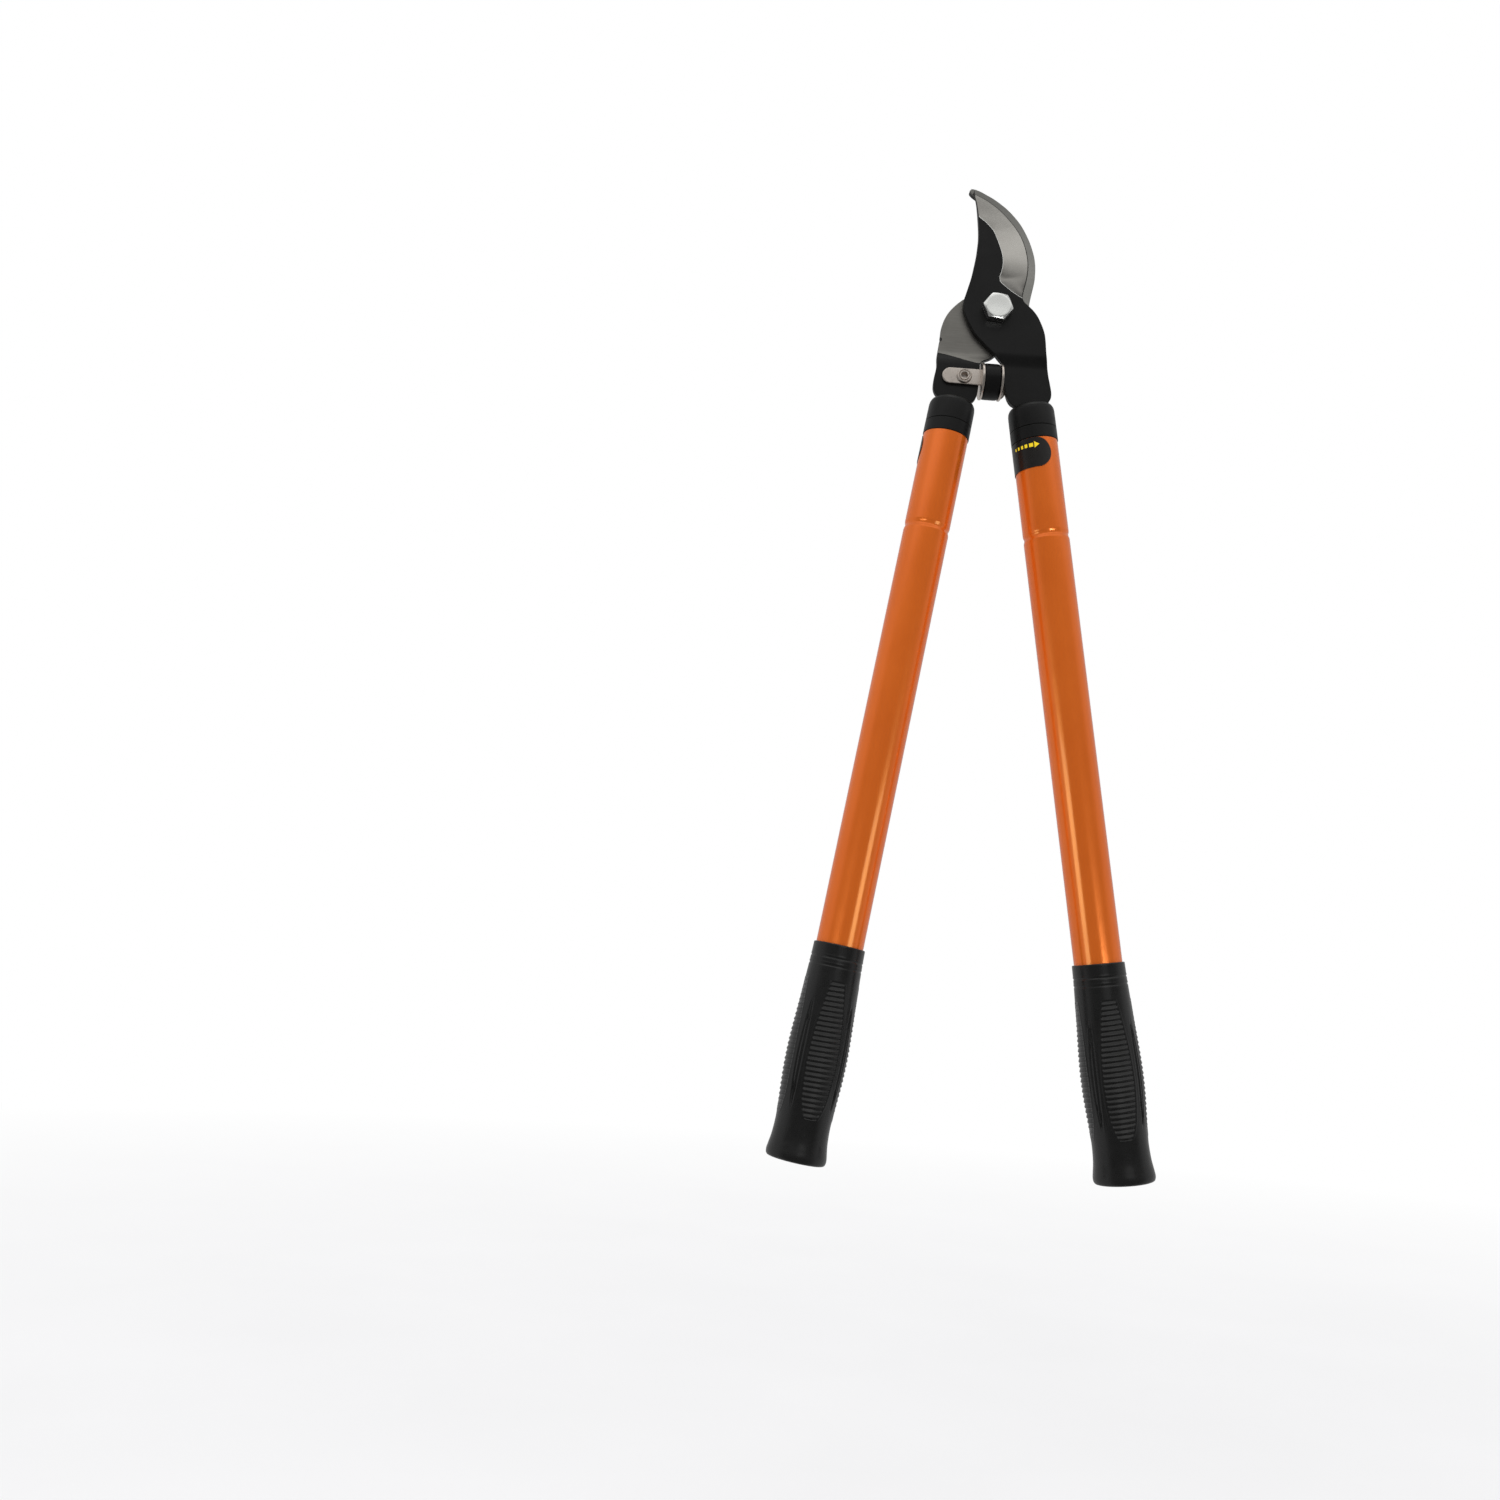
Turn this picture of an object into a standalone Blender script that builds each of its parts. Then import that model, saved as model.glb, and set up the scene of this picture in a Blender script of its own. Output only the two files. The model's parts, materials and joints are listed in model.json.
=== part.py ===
"""Telescopic bypass loppers.

Frame: metres, +Z up along the line that halves the angle between the two
handles, towards the blade tip.  +X is to the right and -Y is the front (the
blade's side).  The origin is on the pivot axis, at the front face of the
pivot bolt's head.  Everything is built about the middle plane between the
two plates first, and set back to that origin at the end.

The blade arm is the front plate, the hook arm the rear one.  Below the pivot
both plates are set over to the middle plane and enter the handles.  Each
handle is an inner tube fixed to its plate and an outer tube that slides on
it, with a cone and slit collet at the inner tube's lower end to lock it.
"""
import math

import bmesh
import bpy
from mathutils import Matrix, Vector
from mathutils.geometry import delaunay_2d_cdt, intersect_line_line_2d

# ---------------------------------------------------------------- dimensions
# Millimetres and degrees; MM turns them into the scene's metres.
# On a handle, *_TOP and *_END are distances down its axis.
MM = 0.001
GAP = 0.3                    # clearance between neighbouring pieces
SEG = 24                     # steps round a turned piece
SMALL_SEG = 16               # steps round a small hole or rivet
CURVE_STEP = 9               # longest step along a smoothed outline

HANDLE_ANGLE = 8.61          # each handle's lean from -Z
HANDLE_FOOT = 17.12          # x where each handle's axis crosses z = 0

PLATE_T = 4.5
HALF_T = PLATE_T / 2
PLATE_INNER = 0.15           # inner face of each plate from the middle plane
JOGGLE_TOP, JOGGLE_END = -34.2, -40.2      # heights where the set-over runs
JOGGLE_SHIFT = PLATE_INNER + HALF_T        # brings a plate onto the middle plane
TANG_HALF, TANG_TOP, TANG_END, TANG_CHAMFER = 10.0, 71.2, 128.0, 2
BLADE_EDGE_T = 0.5           # thickness left at the cutting edge

BOLT_D, HEX_FLATS, BOLT_HEAD = 12.0, 19.0, 7.5
BOLT_R = BOLT_D / 2
HEX_R = HEX_FLATS / 2 / math.cos(math.pi / 6)   # hexagon radius to its corners
BOLT_TURN, NUT_TURN = 37, 19                    # turns about the pivot axis
BUSH_R, BUSH_HALF = 8.0, 4.6
WASHER_R, WASHER_T = 12.0, 2.5
NUT_H = 12.0
CROWN_R, CROWN_H = 9.3, 2.6                # round end standing on the nut's hexagon
POCKET_R, POCKET_TOP, POCKET_FLOOR = 8.3, 0.9, 3.6   # depths from the nut's end

# Heights along the pivot axis, from the front (-Y) to the back.
PIVOT_FRONT = -(PLATE_INNER + PLATE_T + GAP)
PIVOT_BACK = -PIVOT_FRONT
HEAD_FACE = PIVOT_FRONT - BOLT_HEAD
WASHER_END = PIVOT_BACK + WASHER_T
NUT_START = WASHER_END + GAP
NUT_END = NUT_START + NUT_H
BOLT_END = NUT_END + 2.0

BUMPER_Z, BUMPER_R, FLANGE_R = -53.5, 12.8, 13.2
FLANGE_LEFT, FLANGE_RIGHT = (-9.3, -7.5), (4.4, 6.0)    # x spans
STRAP_Z, STRAP_H, STRAP_T = -52.3, 12.0, 2.0
STRAP_SINK = 0.4             # how far a strap stops short of its flange's far face
STRAP_LEFT, STOP_RIGHT = -37.1, 33.0       # x of the straps' round ends
STRAP_RIVET_X, STRAP_RIVET_R = -21.3, 3.2
STRAP_BACK = -(HALF_T + GAP)               # back face of the front strap

COLLAR_TOP, COLLAR_END, COLLAR_R = 71.9, 90.0, 16.45
SLOT_CLEARANCE = 0.35
INNER_R, INNER_WALL = 13.2, 1.5
INNER_TOP, INNER_END = 84.6, 372.0
RIVET_S, RIVET_R, RIVET_HALF = 112.0, 3.0, 12.8
RING_TOP, RING_END, RING_R = COLLAR_END + GAP, 99.4, 16.5
SLEEVE_R, SLEEVE_END = 14.4, 122.0         # the ring's part inside the outer tube
TUBE_R, TUBE_WALL = 16.0, 1.3
TUBE_TOP, TUBE_END = RING_END + GAP, 602.0
BEAD_S, BEAD_D = 169.6, 0.65
CUT_REACH = TUBE_R + 6                     # half length of the rivet hole's cutter

STUD_R, STUD_TOP, STUD_END, STUD_PLUG_R, STUD_FLANGE_T = 3.5, 350, 411.0, 11.4, 3.0
COLLET_TOP, COLLET_END, COLLET_R = 375.6, 405.0, 14.3
TAPER_TOP, TAPER_TOP_R, TAPER_END_R = 380.0, 6.0, 10.8   # the collet's bore
SLIT_TOP, SLIT_HALF, SLIT_REACH = 386, 0.7, 20
CONE_TOP, CONE_WIDE, CONE_END, CONE_CLEARANCE = 386.5, 403.5, 404.5, 0.4

GRIP_TOP, GRIP_END = 467.7, 610.0
LABEL_TOP, LABEL_H, LABEL_T, LABEL_LIFT = 99.9, 23.5, 0.25, 0.2
LABEL_SPAN = 185.0
LABEL_ENDS = {-1: -74.0, 1: 25.0}          # angle from the front towards +X
LABEL_COLS, LABEL_ROWS = 20, 8

# ------------------------------------------------------------ plate outlines
# All are (x, z), except the lobes: (distance down the handle's axis, distance
# from it), on the plate's bulges just above the handles.
EDGE = [                     # cutting edge, from the tip down
    (-20.0, 93.0), (-15, 90.9), (-10, 88.4), (-5, 85.2), (0, 81.4),
    (5, 76.6), (10, 71), (13.4, 66.5), (16.8, 61), (19.3, 55.2),
    (20.9, 50), (22, 45), (22.6, 40), (22.6, 35), (22.2, 30), (21.4, 25),
    (20.1, 19.2), (18.7, 11.2)]
SHOULDER = [                 # blade plate's right side, going down
    (18.7, 10.3), (20, 7.9), (23.3, 5), (26.7, 1.8), (30.2, -2.8),
    (33.4, -9.4), (35.4, -15), (36.4, -21), (36.9, -26.7),
    (37.4, -31.7), (38.6, -39.2), (39.8, -47)]
LOBE_OUT = [(56, 15.8), (62, 16.0), (66, 15.3), (69, 13.4), (70.7, 11.3)]
LOBE_IN = [(70.7, 11.3), (69, 13.8), (66, 15.7), (62, 16.7), (56, 17.2), (50, 17.4)]
HEEL = [                     # blade plate's left side, going up
    (6.95, -44), (6.5, -41), (4.9, -38.6), (2.3, -36.2), (-1.1, -32.8),
    (-6.1, -28.1), (-10.2, -24), (-15.2, -18.6), (-19.4, -11.4),
    (-21.9, -6.2), (-23.5, -2), (-24.1, 2.2), (-23.8, 6.9), (-22.7, 11),
    (-20.9, 17.7), (-19, 25.2), (-17.5, 33.6), (-16.2, 42),
    (-15.6, 48.6), (-15.2, 55.2), (-15.4, 61.9), (-16.1, 70.3),
    (-16.9, 77.7), (-17.8, 84), (-18.9, 88.8)]
GROUND = [                   # inner limit of the bevel, going down
    (-24.0, 81.0), (-17.1, 74.4), (-15, 71.9), (-10, 68), (-5, 62.6),
    (-2.5, 58), (0, 51.8), (2.1, 45.9), (3.3, 40), (3.3, 35),
    (2.5, 30), (1.4, 26.4)]
RUNOUT = GROUND[-1:] + [     # lower limit of the bevel, out to the right side
    (2.0, 22.6), (5, 19.8), (10, 15.9), (14.6, 13.0), (18.7, 10.75)]

HOOK_RIGHT = [               # hook plate's right side, from the tip down
    (-18.4, 96.6), (-14.3, 95.1), (-9.3, 92.6), (-4.3, 89.9),
    (0.7, 86.5), (5.8, 82.5), (10.8, 77.5), (15, 72.5), (18.3, 67.5),
    (21, 62.4), (23.3, 57.4), (25.1, 52.4), (26.6, 47.4), (27.6, 42.3),
    (28.0, 37.3), (28.0, 32.3), (27.7, 27.3), (26.9, 22.3), (25.6, 15.5),
    (24.6, 9.5), (24.0, 2.5), (22.4, -5.8), (19.6, -11.4),
    (15.2, -18.6), (10.2, -24), (6.1, -28.1), (1.1, -32.8),
    (-2.3, -35.6), (-5.6, -37.4), (-8.3, -38.9), (-9.75, -41.0),
    (-10.0, -45.5)]
HOOK_LOBE_RIGHT = [(56, 15.3), (62, 15.6), (66, 15.1), (69, 13.4), (70.7, 11.3)]
HOOK_LOBE_LEFT = [(70.7, 11.3), (69, 13.8), (66, 15.8), (62, 16.7), (56, 17.0),
                  (48, 16.9)]
HOOK_LEFT = [(-41.2, -39.2), (-40.3, -31.0), (-39.7, -26.2)]     # going up
NOTCH = [(-39.6, -24.9), (-38.6, -24.5), (-37.9, -23.4), (-38.5, -22.2),
         (-39.4, -21.8)]
HOOK_INNER = [               # from the notch up the hook's concave side to the tip
    (-39.2, -20.4), (-38.6, -13.9), (-37.0, -8.1), (-33.7, -1.6),
    (-28.6, 4.6), (-22.9, 9.6), (-16, 14.4), (-8, 18.4), (0.0, 21.3),
    (5.5, 25), (9.3, 30), (12, 37), (13.1, 45), (12.5, 53.5),
    (10.5, 61.5), (7, 69), (2, 75.8), (-4, 81.5), (-11, 86.2),
    (-17.3, 89.6), (-21.2, 92.5), (-22.7, 94.8), (-21.3, 96.9)]

# Strap's lower edge at its flange: (x from the strap's end, z from its edge).
PLAIN_END = [(0, 0)]
FLARED_END = [(-9, 0), (-5, -2.2), (-3, -5.8), (0, -6.6)]

# Outer tube's bead: (distance from its middle, share of the full depth).
BEAD = [(-3.2, 0.0), (-1.2, 0.85), (0, 1.0), (1.2, 0.85), (3.2, 0.0)]

# Grip's outside: (radius, distance down the handle's axis).
GRIP = [(17.4, 468.6), (17.65, 480), (18.2, 492), (18.95, 506), (19.8, 520),
        (20.45, 533), (20.6, 544), (20.3, 555), (19.5, 567), (18.65, 577.5),
        (18.3, 586), (18.75, 596), (19.6, 602), (20.2, 606.5), (19.6, 609.2),
        (18.0, GRIP_END)]

# ------------------------------------------------------------------ materials
FINISHES = {                 # base colour, roughness, metallic
    "plate_black": ((0.030, 0.030, 0.032), 0.45, 0.3),
    "zinc": ((0.66, 0.68, 0.68), 0.25, 1.0),
    "nickel": ((0.46, 0.43, 0.41), 0.30, 1.0),
    "bronze": ((0.45, 0.30, 0.15), 0.40, 1.0),
    "rubber": ((0.020, 0.020, 0.021), 0.75, 0.0),
    "nylon_black": ((0.035, 0.035, 0.036), 0.50, 0.0),
    "nylon_white": ((0.60, 0.62, 0.60), 0.50, 0.0),
    "orange": ((0.62, 0.16, 0.035), 0.30, 0.0),
    "aluminium": ((0.62, 0.62, 0.63), 0.35, 1.0),
    "grip_black": ((0.028, 0.028, 0.028), 0.60, 0.0),
    "label_black": ((0.022, 0.018, 0.018), 0.35, 0.0),
}
SHARP_ANGLE = 30             # creases above this stay sharp in the shading


def material(name, colour, roughness, metallic):
    made = bpy.data.materials.new(name)
    made.use_nodes = True
    shader = made.node_tree.nodes["Principled BSDF"]
    shader.inputs["Base Color"].default_value = (*colour, 1.0)
    shader.inputs["Roughness"].default_value = roughness
    shader.inputs["Metallic"].default_value = metallic
    made.diffuse_color = (*colour, 1.0)
    return made


def finish(obj, finish_name):
    """Gives the piece its own material and smooth shading."""
    mesh = obj.data
    mesh.materials.clear()
    mesh.materials.append(material(obj.name + "_finish", *FINISHES[finish_name]))
    mesh.shade_smooth()
    mesh.set_sharp_from_angle(angle=math.radians(SHARP_ANGLE))


# ------------------------------------------------------------- new, clean file
for old_object in list(bpy.data.objects):
    bpy.data.objects.remove(old_object, do_unlink=True)

parts = bpy.data.collections.new("bypass_loppers")
cutters = bpy.data.collections.new("cutters")     # boolean tools, while in use
cutters.hide_render = True
for collection in (parts, cutters):
    bpy.context.scene.collection.children.link(collection)


# --------------------------------------------------------------- solid helpers
def from_bmesh(name, bm, collection=parts):
    mesh = bpy.data.meshes.new(name)
    bm.to_mesh(mesh)
    bm.free()
    obj = bpy.data.objects.new(name, mesh)
    collection.objects.link(obj)
    return obj


def turned(name, profile, seg=SEG, collection=parts):
    """A closed (radius, height) outline spun about local Z."""
    bm = bmesh.new()
    ring = [bm.verts.new((radius * MM, 0, z * MM)) for radius, z in profile]
    edges = []
    for i in range(len(ring)):
        j = (i + 1) % len(ring)
        on_axis = profile[i][0] < 1e-6 and profile[j][0] < 1e-6
        if not on_axis:
            edges.append(bm.edges.new((ring[i], ring[j])))
    bmesh.ops.spin(bm, geom=ring + edges, cent=(0, 0, 0), axis=(0, 0, 1),
                   angle=2 * math.pi, steps=seg, use_duplicate=False)
    bmesh.ops.remove_doubles(bm, verts=bm.verts, dist=2e-6)
    bmesh.ops.dissolve_degenerate(bm, edges=bm.edges, dist=1e-7)
    bmesh.ops.recalc_face_normals(bm, faces=bm.faces)
    return from_bmesh(name, bm, collection)


def block_cutter(name, low, high):
    """A box cutter between two opposite corners."""
    bm = bmesh.new()
    bmesh.ops.create_cube(bm, size=1.0)
    for vert in bm.verts:
        for k in range(3):
            vert.co[k] = (low[k] if vert.co[k] < 0 else high[k]) * MM
    return from_bmesh(name, bm, cutters)


def prism(name, sides, radius, low, high, turn=0.0, collection=parts):
    """A regular prism about local Z; radius is to the corners."""
    bm = bmesh.new()
    bmesh.ops.create_cone(bm, cap_ends=True, cap_tris=False, segments=sides,
                          radius1=radius * MM, radius2=radius * MM,
                          depth=(high - low) * MM)
    bmesh.ops.rotate(bm, verts=bm.verts, cent=(0, 0, 0),
                     matrix=Matrix.Rotation(math.radians(turn), 3, "Z"))
    bmesh.ops.translate(bm, verts=bm.verts, vec=(0, 0, (high + low) / 2 * MM))
    return from_bmesh(name, bm, collection)


def boolean(obj, cutter, operation):
    """Applies the operation to the piece and removes the cutter."""
    mod = obj.modifiers.new(operation.lower(), "BOOLEAN")
    mod.operation = operation
    mod.solver = "EXACT"
    mod.object = cutter
    bpy.context.view_layer.update()
    depsgraph = bpy.context.evaluated_depsgraph_get()
    mesh = bpy.data.meshes.new_from_object(obj.evaluated_get(depsgraph))
    obj.modifiers.clear()
    old_mesh = obj.data
    obj.data = mesh
    bpy.data.meshes.remove(old_mesh)
    mesh.name = obj.name
    bpy.data.objects.remove(cutter, do_unlink=True)


def place(obj, matrix):
    """Moves the mesh itself; the object's origin stays."""
    obj.data.transform(matrix)
    obj.data.update()


def shift(x, z):
    return Matrix.Translation((x * MM, 0, z * MM))


# Local Z of a turned piece laid along +Y (front to back), or along +X.
ALONG_Y = Matrix(((1, 0, 0, 0), (0, 0, 1, 0), (0, -1, 0, 0), (0, 0, 0, 1)))
ALONG_X = Matrix(((0, 0, 1, 0), (0, 1, 0, 0), (-1, 0, 0, 0), (0, 0, 0, 1)))


# ------------------------------------------------------------- outline helpers
def curve_through(points):
    """Points on an open cubic curve through the given ones."""
    given = [Vector(p) for p in points]
    curve = []
    for i in range(len(given) - 1):
        start, end = given[i], given[i + 1]
        before = given[i - 1] if i else start - (end - start)
        after = given[i + 2] if i + 2 < len(given) else end + (end - start)
        chord = (end - start).length
        slope_1 = (end - before) * (chord / (chord + (start - before).length))
        slope_2 = (after - start) * (chord / ((after - end).length + chord))
        steps = int(math.ceil(chord / CURVE_STEP))
        for j in range(steps):
            t = j / steps
            curve.append((2 * t**3 - 3 * t**2 + 1) * start
                         + (t**3 - 2 * t**2 + t) * slope_1
                         + (-2 * t**3 + 3 * t**2) * end + (t**3 - t**2) * slope_2)
    curve.append(given[-1])
    return curve


def handle_point(side, down, right):
    """(x, z) of a point down a handle's axis and to the right of it.
    side is -1 for the left handle and 1 for the right one."""
    lean = math.radians(HANDLE_ANGLE)
    return (side * (HANDLE_FOOT + down * math.sin(lean)) + right * math.cos(lean),
            -down * math.cos(lean) + side * right * math.sin(lean))


def tang(side):
    """The straight end that enters the handle, from its right side round."""
    chamfered = TANG_HALF - TANG_CHAMFER
    right_half = [(TANG_TOP, TANG_HALF), (TANG_END - TANG_CHAMFER, TANG_HALF),
                  (TANG_END, chamfered)]
    left_half = [(down, -right) for down, right in reversed(right_half)]
    return [Vector(handle_point(side, *p)) for p in right_half + left_half]


def lobe(side, points, direction):
    """Lobe points in (x, z); direction is 1 right of the axis, -1 left."""
    return [handle_point(side, down, direction * off) for down, off in points]


def inside(p, loop):
    hit = False
    for i in range(len(loop)):
        a, b = loop[i], loop[i - 1]
        if (a[1] > p[1]) != (b[1] > p[1]):
            if p[0] < a[0] + (p[1] - a[1]) * (b[0] - a[0]) / (b[1] - a[1]):
                hit = not hit
    return hit


def circle(x, z, radius, seg=SMALL_SEG):
    angles = [2 * math.pi * (i + 0.5) / seg for i in range(seg)]
    return [Vector((x + radius * math.cos(angle), z + radius * math.sin(angle)))
            for angle in angles]


def nearest(p, line):
    """Distance from p to an open line."""
    def to_segment(a, b):
        along = b - a
        t = max(0.0, min(1.0, (p - a).dot(along) / along.dot(along)))
        return (a + along * t - p).length

    return min(to_segment(a, b) for a, b in zip(line, line[1:]))


def split_at_height(outline, z):
    """Adds the outline's own crossings of height z, and gives the crease.
    An outline point within `close` of a crossing is moved onto it."""
    close = 0.2
    split, hits = [], []
    for i in range(len(outline)):
        a, b = outline[i], outline[(i + 1) % len(outline)]
        split.append(a)
        if (a[1] - z) * (b[1] - z) < 0:
            t = (z - a[1]) / (b[1] - a[1])
            p = a + (b - a) * t
            if (p - a).length <= close:
                split[-1] = p
            elif (p - b).length > close:
                split.append(p)
            else:
                b.x, b.y = p.x, p.y
            hits.append(p)
    hits.sort(key=lambda p: p.x)
    return split, [hits[0].copy(), hits[-1].copy()]


def split_at_line(outline, line):
    """Adds the point where an open line leaves the outline, and gives the
    line trimmed to start there."""
    for i in range(len(outline)):
        a, b = outline[i], outline[(i + 1) % len(outline)]
        for j in range(len(line) - 1):
            p = intersect_line_line_2d(a, b, line[j], line[j + 1])
            if p is not None:
                p = Vector(p)
                return (outline[:i + 1] + [p] + outline[i + 1:],
                        [p.copy()] + line[j + 1:])
    return outline, line


def plate(name, outline, holes, creases, front, back):
    """A flat piece: an outline with holes whose two faces follow
    front(x, z) and back(x, z); creases are extra edges across the faces."""
    verts, edges = [], []

    def add(points, closed):
        first, total = len(verts), len(points)
        verts.extend(Vector((p[0], p[1])) for p in points)
        edges.extend((first + i, first + (i + 1) % total)
                     for i in range(total if closed else total - 1))

    for loop in [outline] + holes:
        add(loop, True)
    for crease in creases:
        add(crease, False)
    points, _, triangles, *_ = delaunay_2d_cdt(verts, edges, [], 0, 1e-5)
    kept = []
    for triangle in triangles:
        middle = sum((points[i] for i in triangle), Vector((0, 0))) / len(triangle)
        if inside(middle, outline) and not any(inside(middle, h) for h in holes):
            kept.append(tuple(triangle))

    bm = bmesh.new()
    used = sorted({i for triangle in kept for i in triangle})

    def face_verts(depth):
        return {i: bm.verts.new((points[i][0] * MM, depth(*points[i]) * MM,
                                 points[i][1] * MM)) for i in used}

    front_verts = face_verts(front)
    back_verts = face_verts(back)
    directed = {}            # keeps the edges in order
    for triangle in kept:
        bm.faces.new([front_verts[i] for i in triangle])
        bm.faces.new([back_verts[i] for i in reversed(triangle)])
        for k in range(3):
            directed[triangle[k], triangle[(k + 1) % 3]] = True
    for a, b in directed:
        if (b, a) not in directed:       # a border edge gets a side wall
            bm.faces.new([front_verts[b], front_verts[a],
                          back_verts[a], back_verts[b]])
    bmesh.ops.recalc_face_normals(bm, faces=bm.faces)
    return from_bmesh(name, bm)


# ------------------------------------------------------------- the two plates
def joggle(z):
    """How far a plate is set over towards the middle plane at height z."""
    t = min(1.0, max(0.0, (JOGGLE_TOP - z) / (JOGGLE_TOP - JOGGLE_END)))
    return JOGGLE_SHIFT * t


def arm_plate(name, outline, side, more_holes, more_creases, front, back):
    """A plate with its pivot hole, tang rivet hole and joggle creases."""
    outline, crease_top = split_at_height(outline, JOGGLE_TOP)
    outline, crease_end = split_at_height(outline, JOGGLE_END)
    holes = [circle(0, 0, BUSH_R + GAP, SEG),
             circle(*handle_point(side, RIVET_S, 0), RIVET_R + GAP)] + more_holes
    finish(plate(name, outline, holes, more_creases + [crease_top, crease_end],
                 front, back), "plate_black")


def blade_plate():
    edge = curve_through(EDGE)
    bevel_limit = curve_through(GROUND) + curve_through(RUNOUT)[1:]
    bevel_zone = edge + list(reversed(bevel_limit))
    outline = (edge + [Vector(RUNOUT[-1])]
               + curve_through(SHOULDER + lobe(1, LOBE_OUT, 1))
               + tang(1)
               + curve_through(lobe(1, LOBE_IN, -1) + HEEL))
    outline, bevel_crease = split_at_line(outline, bevel_limit)

    def front(x, z):
        """The front face, thinned from the bevel's limit to the edge."""
        y = -PLATE_INNER - PLATE_T
        p = Vector((x, z))
        to_edge, to_limit = nearest(p, edge), nearest(p, bevel_limit)
        if (inside(p, bevel_zone) or to_edge < 1e-3) and to_limit > 1e-3:
            t = to_edge / (to_edge + to_limit)
            y = -PLATE_INNER - BLADE_EDGE_T - t * (PLATE_T - BLADE_EDGE_T)
        return y + joggle(z)

    arm_plate("blade_plate", outline, 1, [], [bevel_crease],
              front, lambda x, z: -PLATE_INNER + joggle(z))


def hook_plate():
    outline = (curve_through(HOOK_RIGHT + lobe(-1, HOOK_LOBE_RIGHT, 1))
               + tang(-1)
               + curve_through(lobe(-1, HOOK_LOBE_LEFT, -1) + HOOK_LEFT)
               + [Vector(p) for p in NOTCH]
               + curve_through(HOOK_INNER))
    strap_hole = circle(STRAP_RIVET_X, STRAP_Z, STRAP_RIVET_R + GAP)
    arm_plate("hook_plate", outline, -1, [strap_hole], [],
              lambda x, z: PLATE_INNER - joggle(z),
              lambda x, z: PLATE_INNER + PLATE_T - joggle(z))


# ------------------------------------------------------------- pivot hardware
def pivot_bolt():
    bolt = prism("pivot_bolt", 6, HEX_R, HEAD_FACE, PIVOT_FRONT, BOLT_TURN)
    clear_r = HEX_R + 0.2    # just outside the hexagon's corners
    chamfer = turned("bolt_chamfer", [
        (0, HEAD_FACE), (HEX_FLATS / 2 - 0.5, HEAD_FACE),
        (clear_r, HEAD_FACE + 1.25), (clear_r, PIVOT_FRONT + 1),
        (0, PIVOT_FRONT + 1)], 48, cutters)
    boolean(bolt, chamfer, "INTERSECT")
    shank = turned("bolt_shank", [
        (0, PIVOT_FRONT - 1.0), (BOLT_R, PIVOT_FRONT - 1.0),
        (BOLT_R, BOLT_END - 1.0), (BOLT_R - 1.0, BOLT_END),
        (0, BOLT_END)], collection=cutters)
    boolean(bolt, shank, "UNION")
    place(bolt, ALONG_Y)
    finish(bolt, "zinc")


def pivot_ring(name, profile, finish_name):
    """A turned ring on the pivot axis."""
    ring = turned(name, profile)
    place(ring, ALONG_Y)
    finish(ring, finish_name)


def pivot_bush():
    bore = BOLT_R + GAP
    pivot_ring("pivot_bush", [
        (BUSH_R, -BUSH_HALF), (BUSH_R, BUSH_HALF),
        (bore, BUSH_HALF), (bore, -BUSH_HALF)], "bronze")


def pivot_washer():
    bore, chamfer = BOLT_R + 0.5, 0.3
    pivot_ring("pivot_washer", [
        (WASHER_R, PIVOT_BACK), (WASHER_R, WASHER_END - chamfer),
        (WASHER_R - chamfer, WASHER_END), (bore, WASHER_END),
        (bore, PIVOT_BACK)], "zinc")


def lock_nut():
    """A hexagon with a round crown, hollowed for the insert."""
    nut = prism("lock_nut", 6, HEX_R, NUT_START, NUT_END - CROWN_H, NUT_TURN)
    crown = turned("nut_crown", [
        (0, NUT_START + 1), (CROWN_R, NUT_START + 1), (CROWN_R, NUT_END - 1.0),
        (CROWN_R - 0.9, NUT_END), (0, NUT_END)], collection=cutters)
    boolean(nut, crown, "UNION")
    bore, mouth = BOLT_R + GAP, 7.4
    hollow = turned("nut_bore", [
        (0, NUT_START - 1), (bore, NUT_START - 1),
        (bore, NUT_END - POCKET_FLOOR), (POCKET_R, NUT_END - POCKET_FLOOR),
        (POCKET_R, NUT_END - POCKET_TOP), (mouth, NUT_END - 0.6),
        (mouth, NUT_END + 1), (0, NUT_END + 1)], collection=cutters)
    boolean(nut, hollow, "DIFFERENCE")
    place(nut, ALONG_Y)
    finish(nut, "zinc")


def nut_insert():
    outer, bore = POCKET_R - GAP, BOLT_R + GAP
    floor, top = NUT_END - POCKET_FLOOR + GAP, NUT_END - POCKET_TOP - GAP
    pivot_ring("nut_insert", [(outer, floor), (outer, top), (bore, top),
                              (bore, floor)], "nylon_white")


# ---------------------------------------------------------------- the bumper
AT_BUMPER = shift(0, BUMPER_Z) @ ALONG_X


def strap_outline(x_round, x_flange, flange_end):
    """A strap from its round left end to its flange, in (x, z)."""
    half = STRAP_H / 2
    points = []
    for i in range(13):
        angle = math.pi / 2 + math.pi * i / 12
        points.append(Vector((x_round + half + half * math.cos(angle),
                              STRAP_Z + half * math.sin(angle))))
    points += [Vector((x_flange + x, STRAP_Z - half + z)) for x, z in flange_end]
    points.append(Vector((x_flange, STRAP_Z + half)))
    return points


def bracket(name, outline, front_y, holes, flange_name, flange_span):
    """A strap with a round flange standing across its end."""
    piece = plate(name, outline, holes, [],
                  lambda x, z: front_y, lambda x, z: front_y + STRAP_T)
    low, high = flange_span
    flange = turned(flange_name, [(0, low), (FLANGE_R, low), (FLANGE_R, high),
                                  (0, high)], collection=cutters)
    place(flange, AT_BUMPER)
    boolean(piece, flange, "UNION")
    finish(piece, "nickel")


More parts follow.
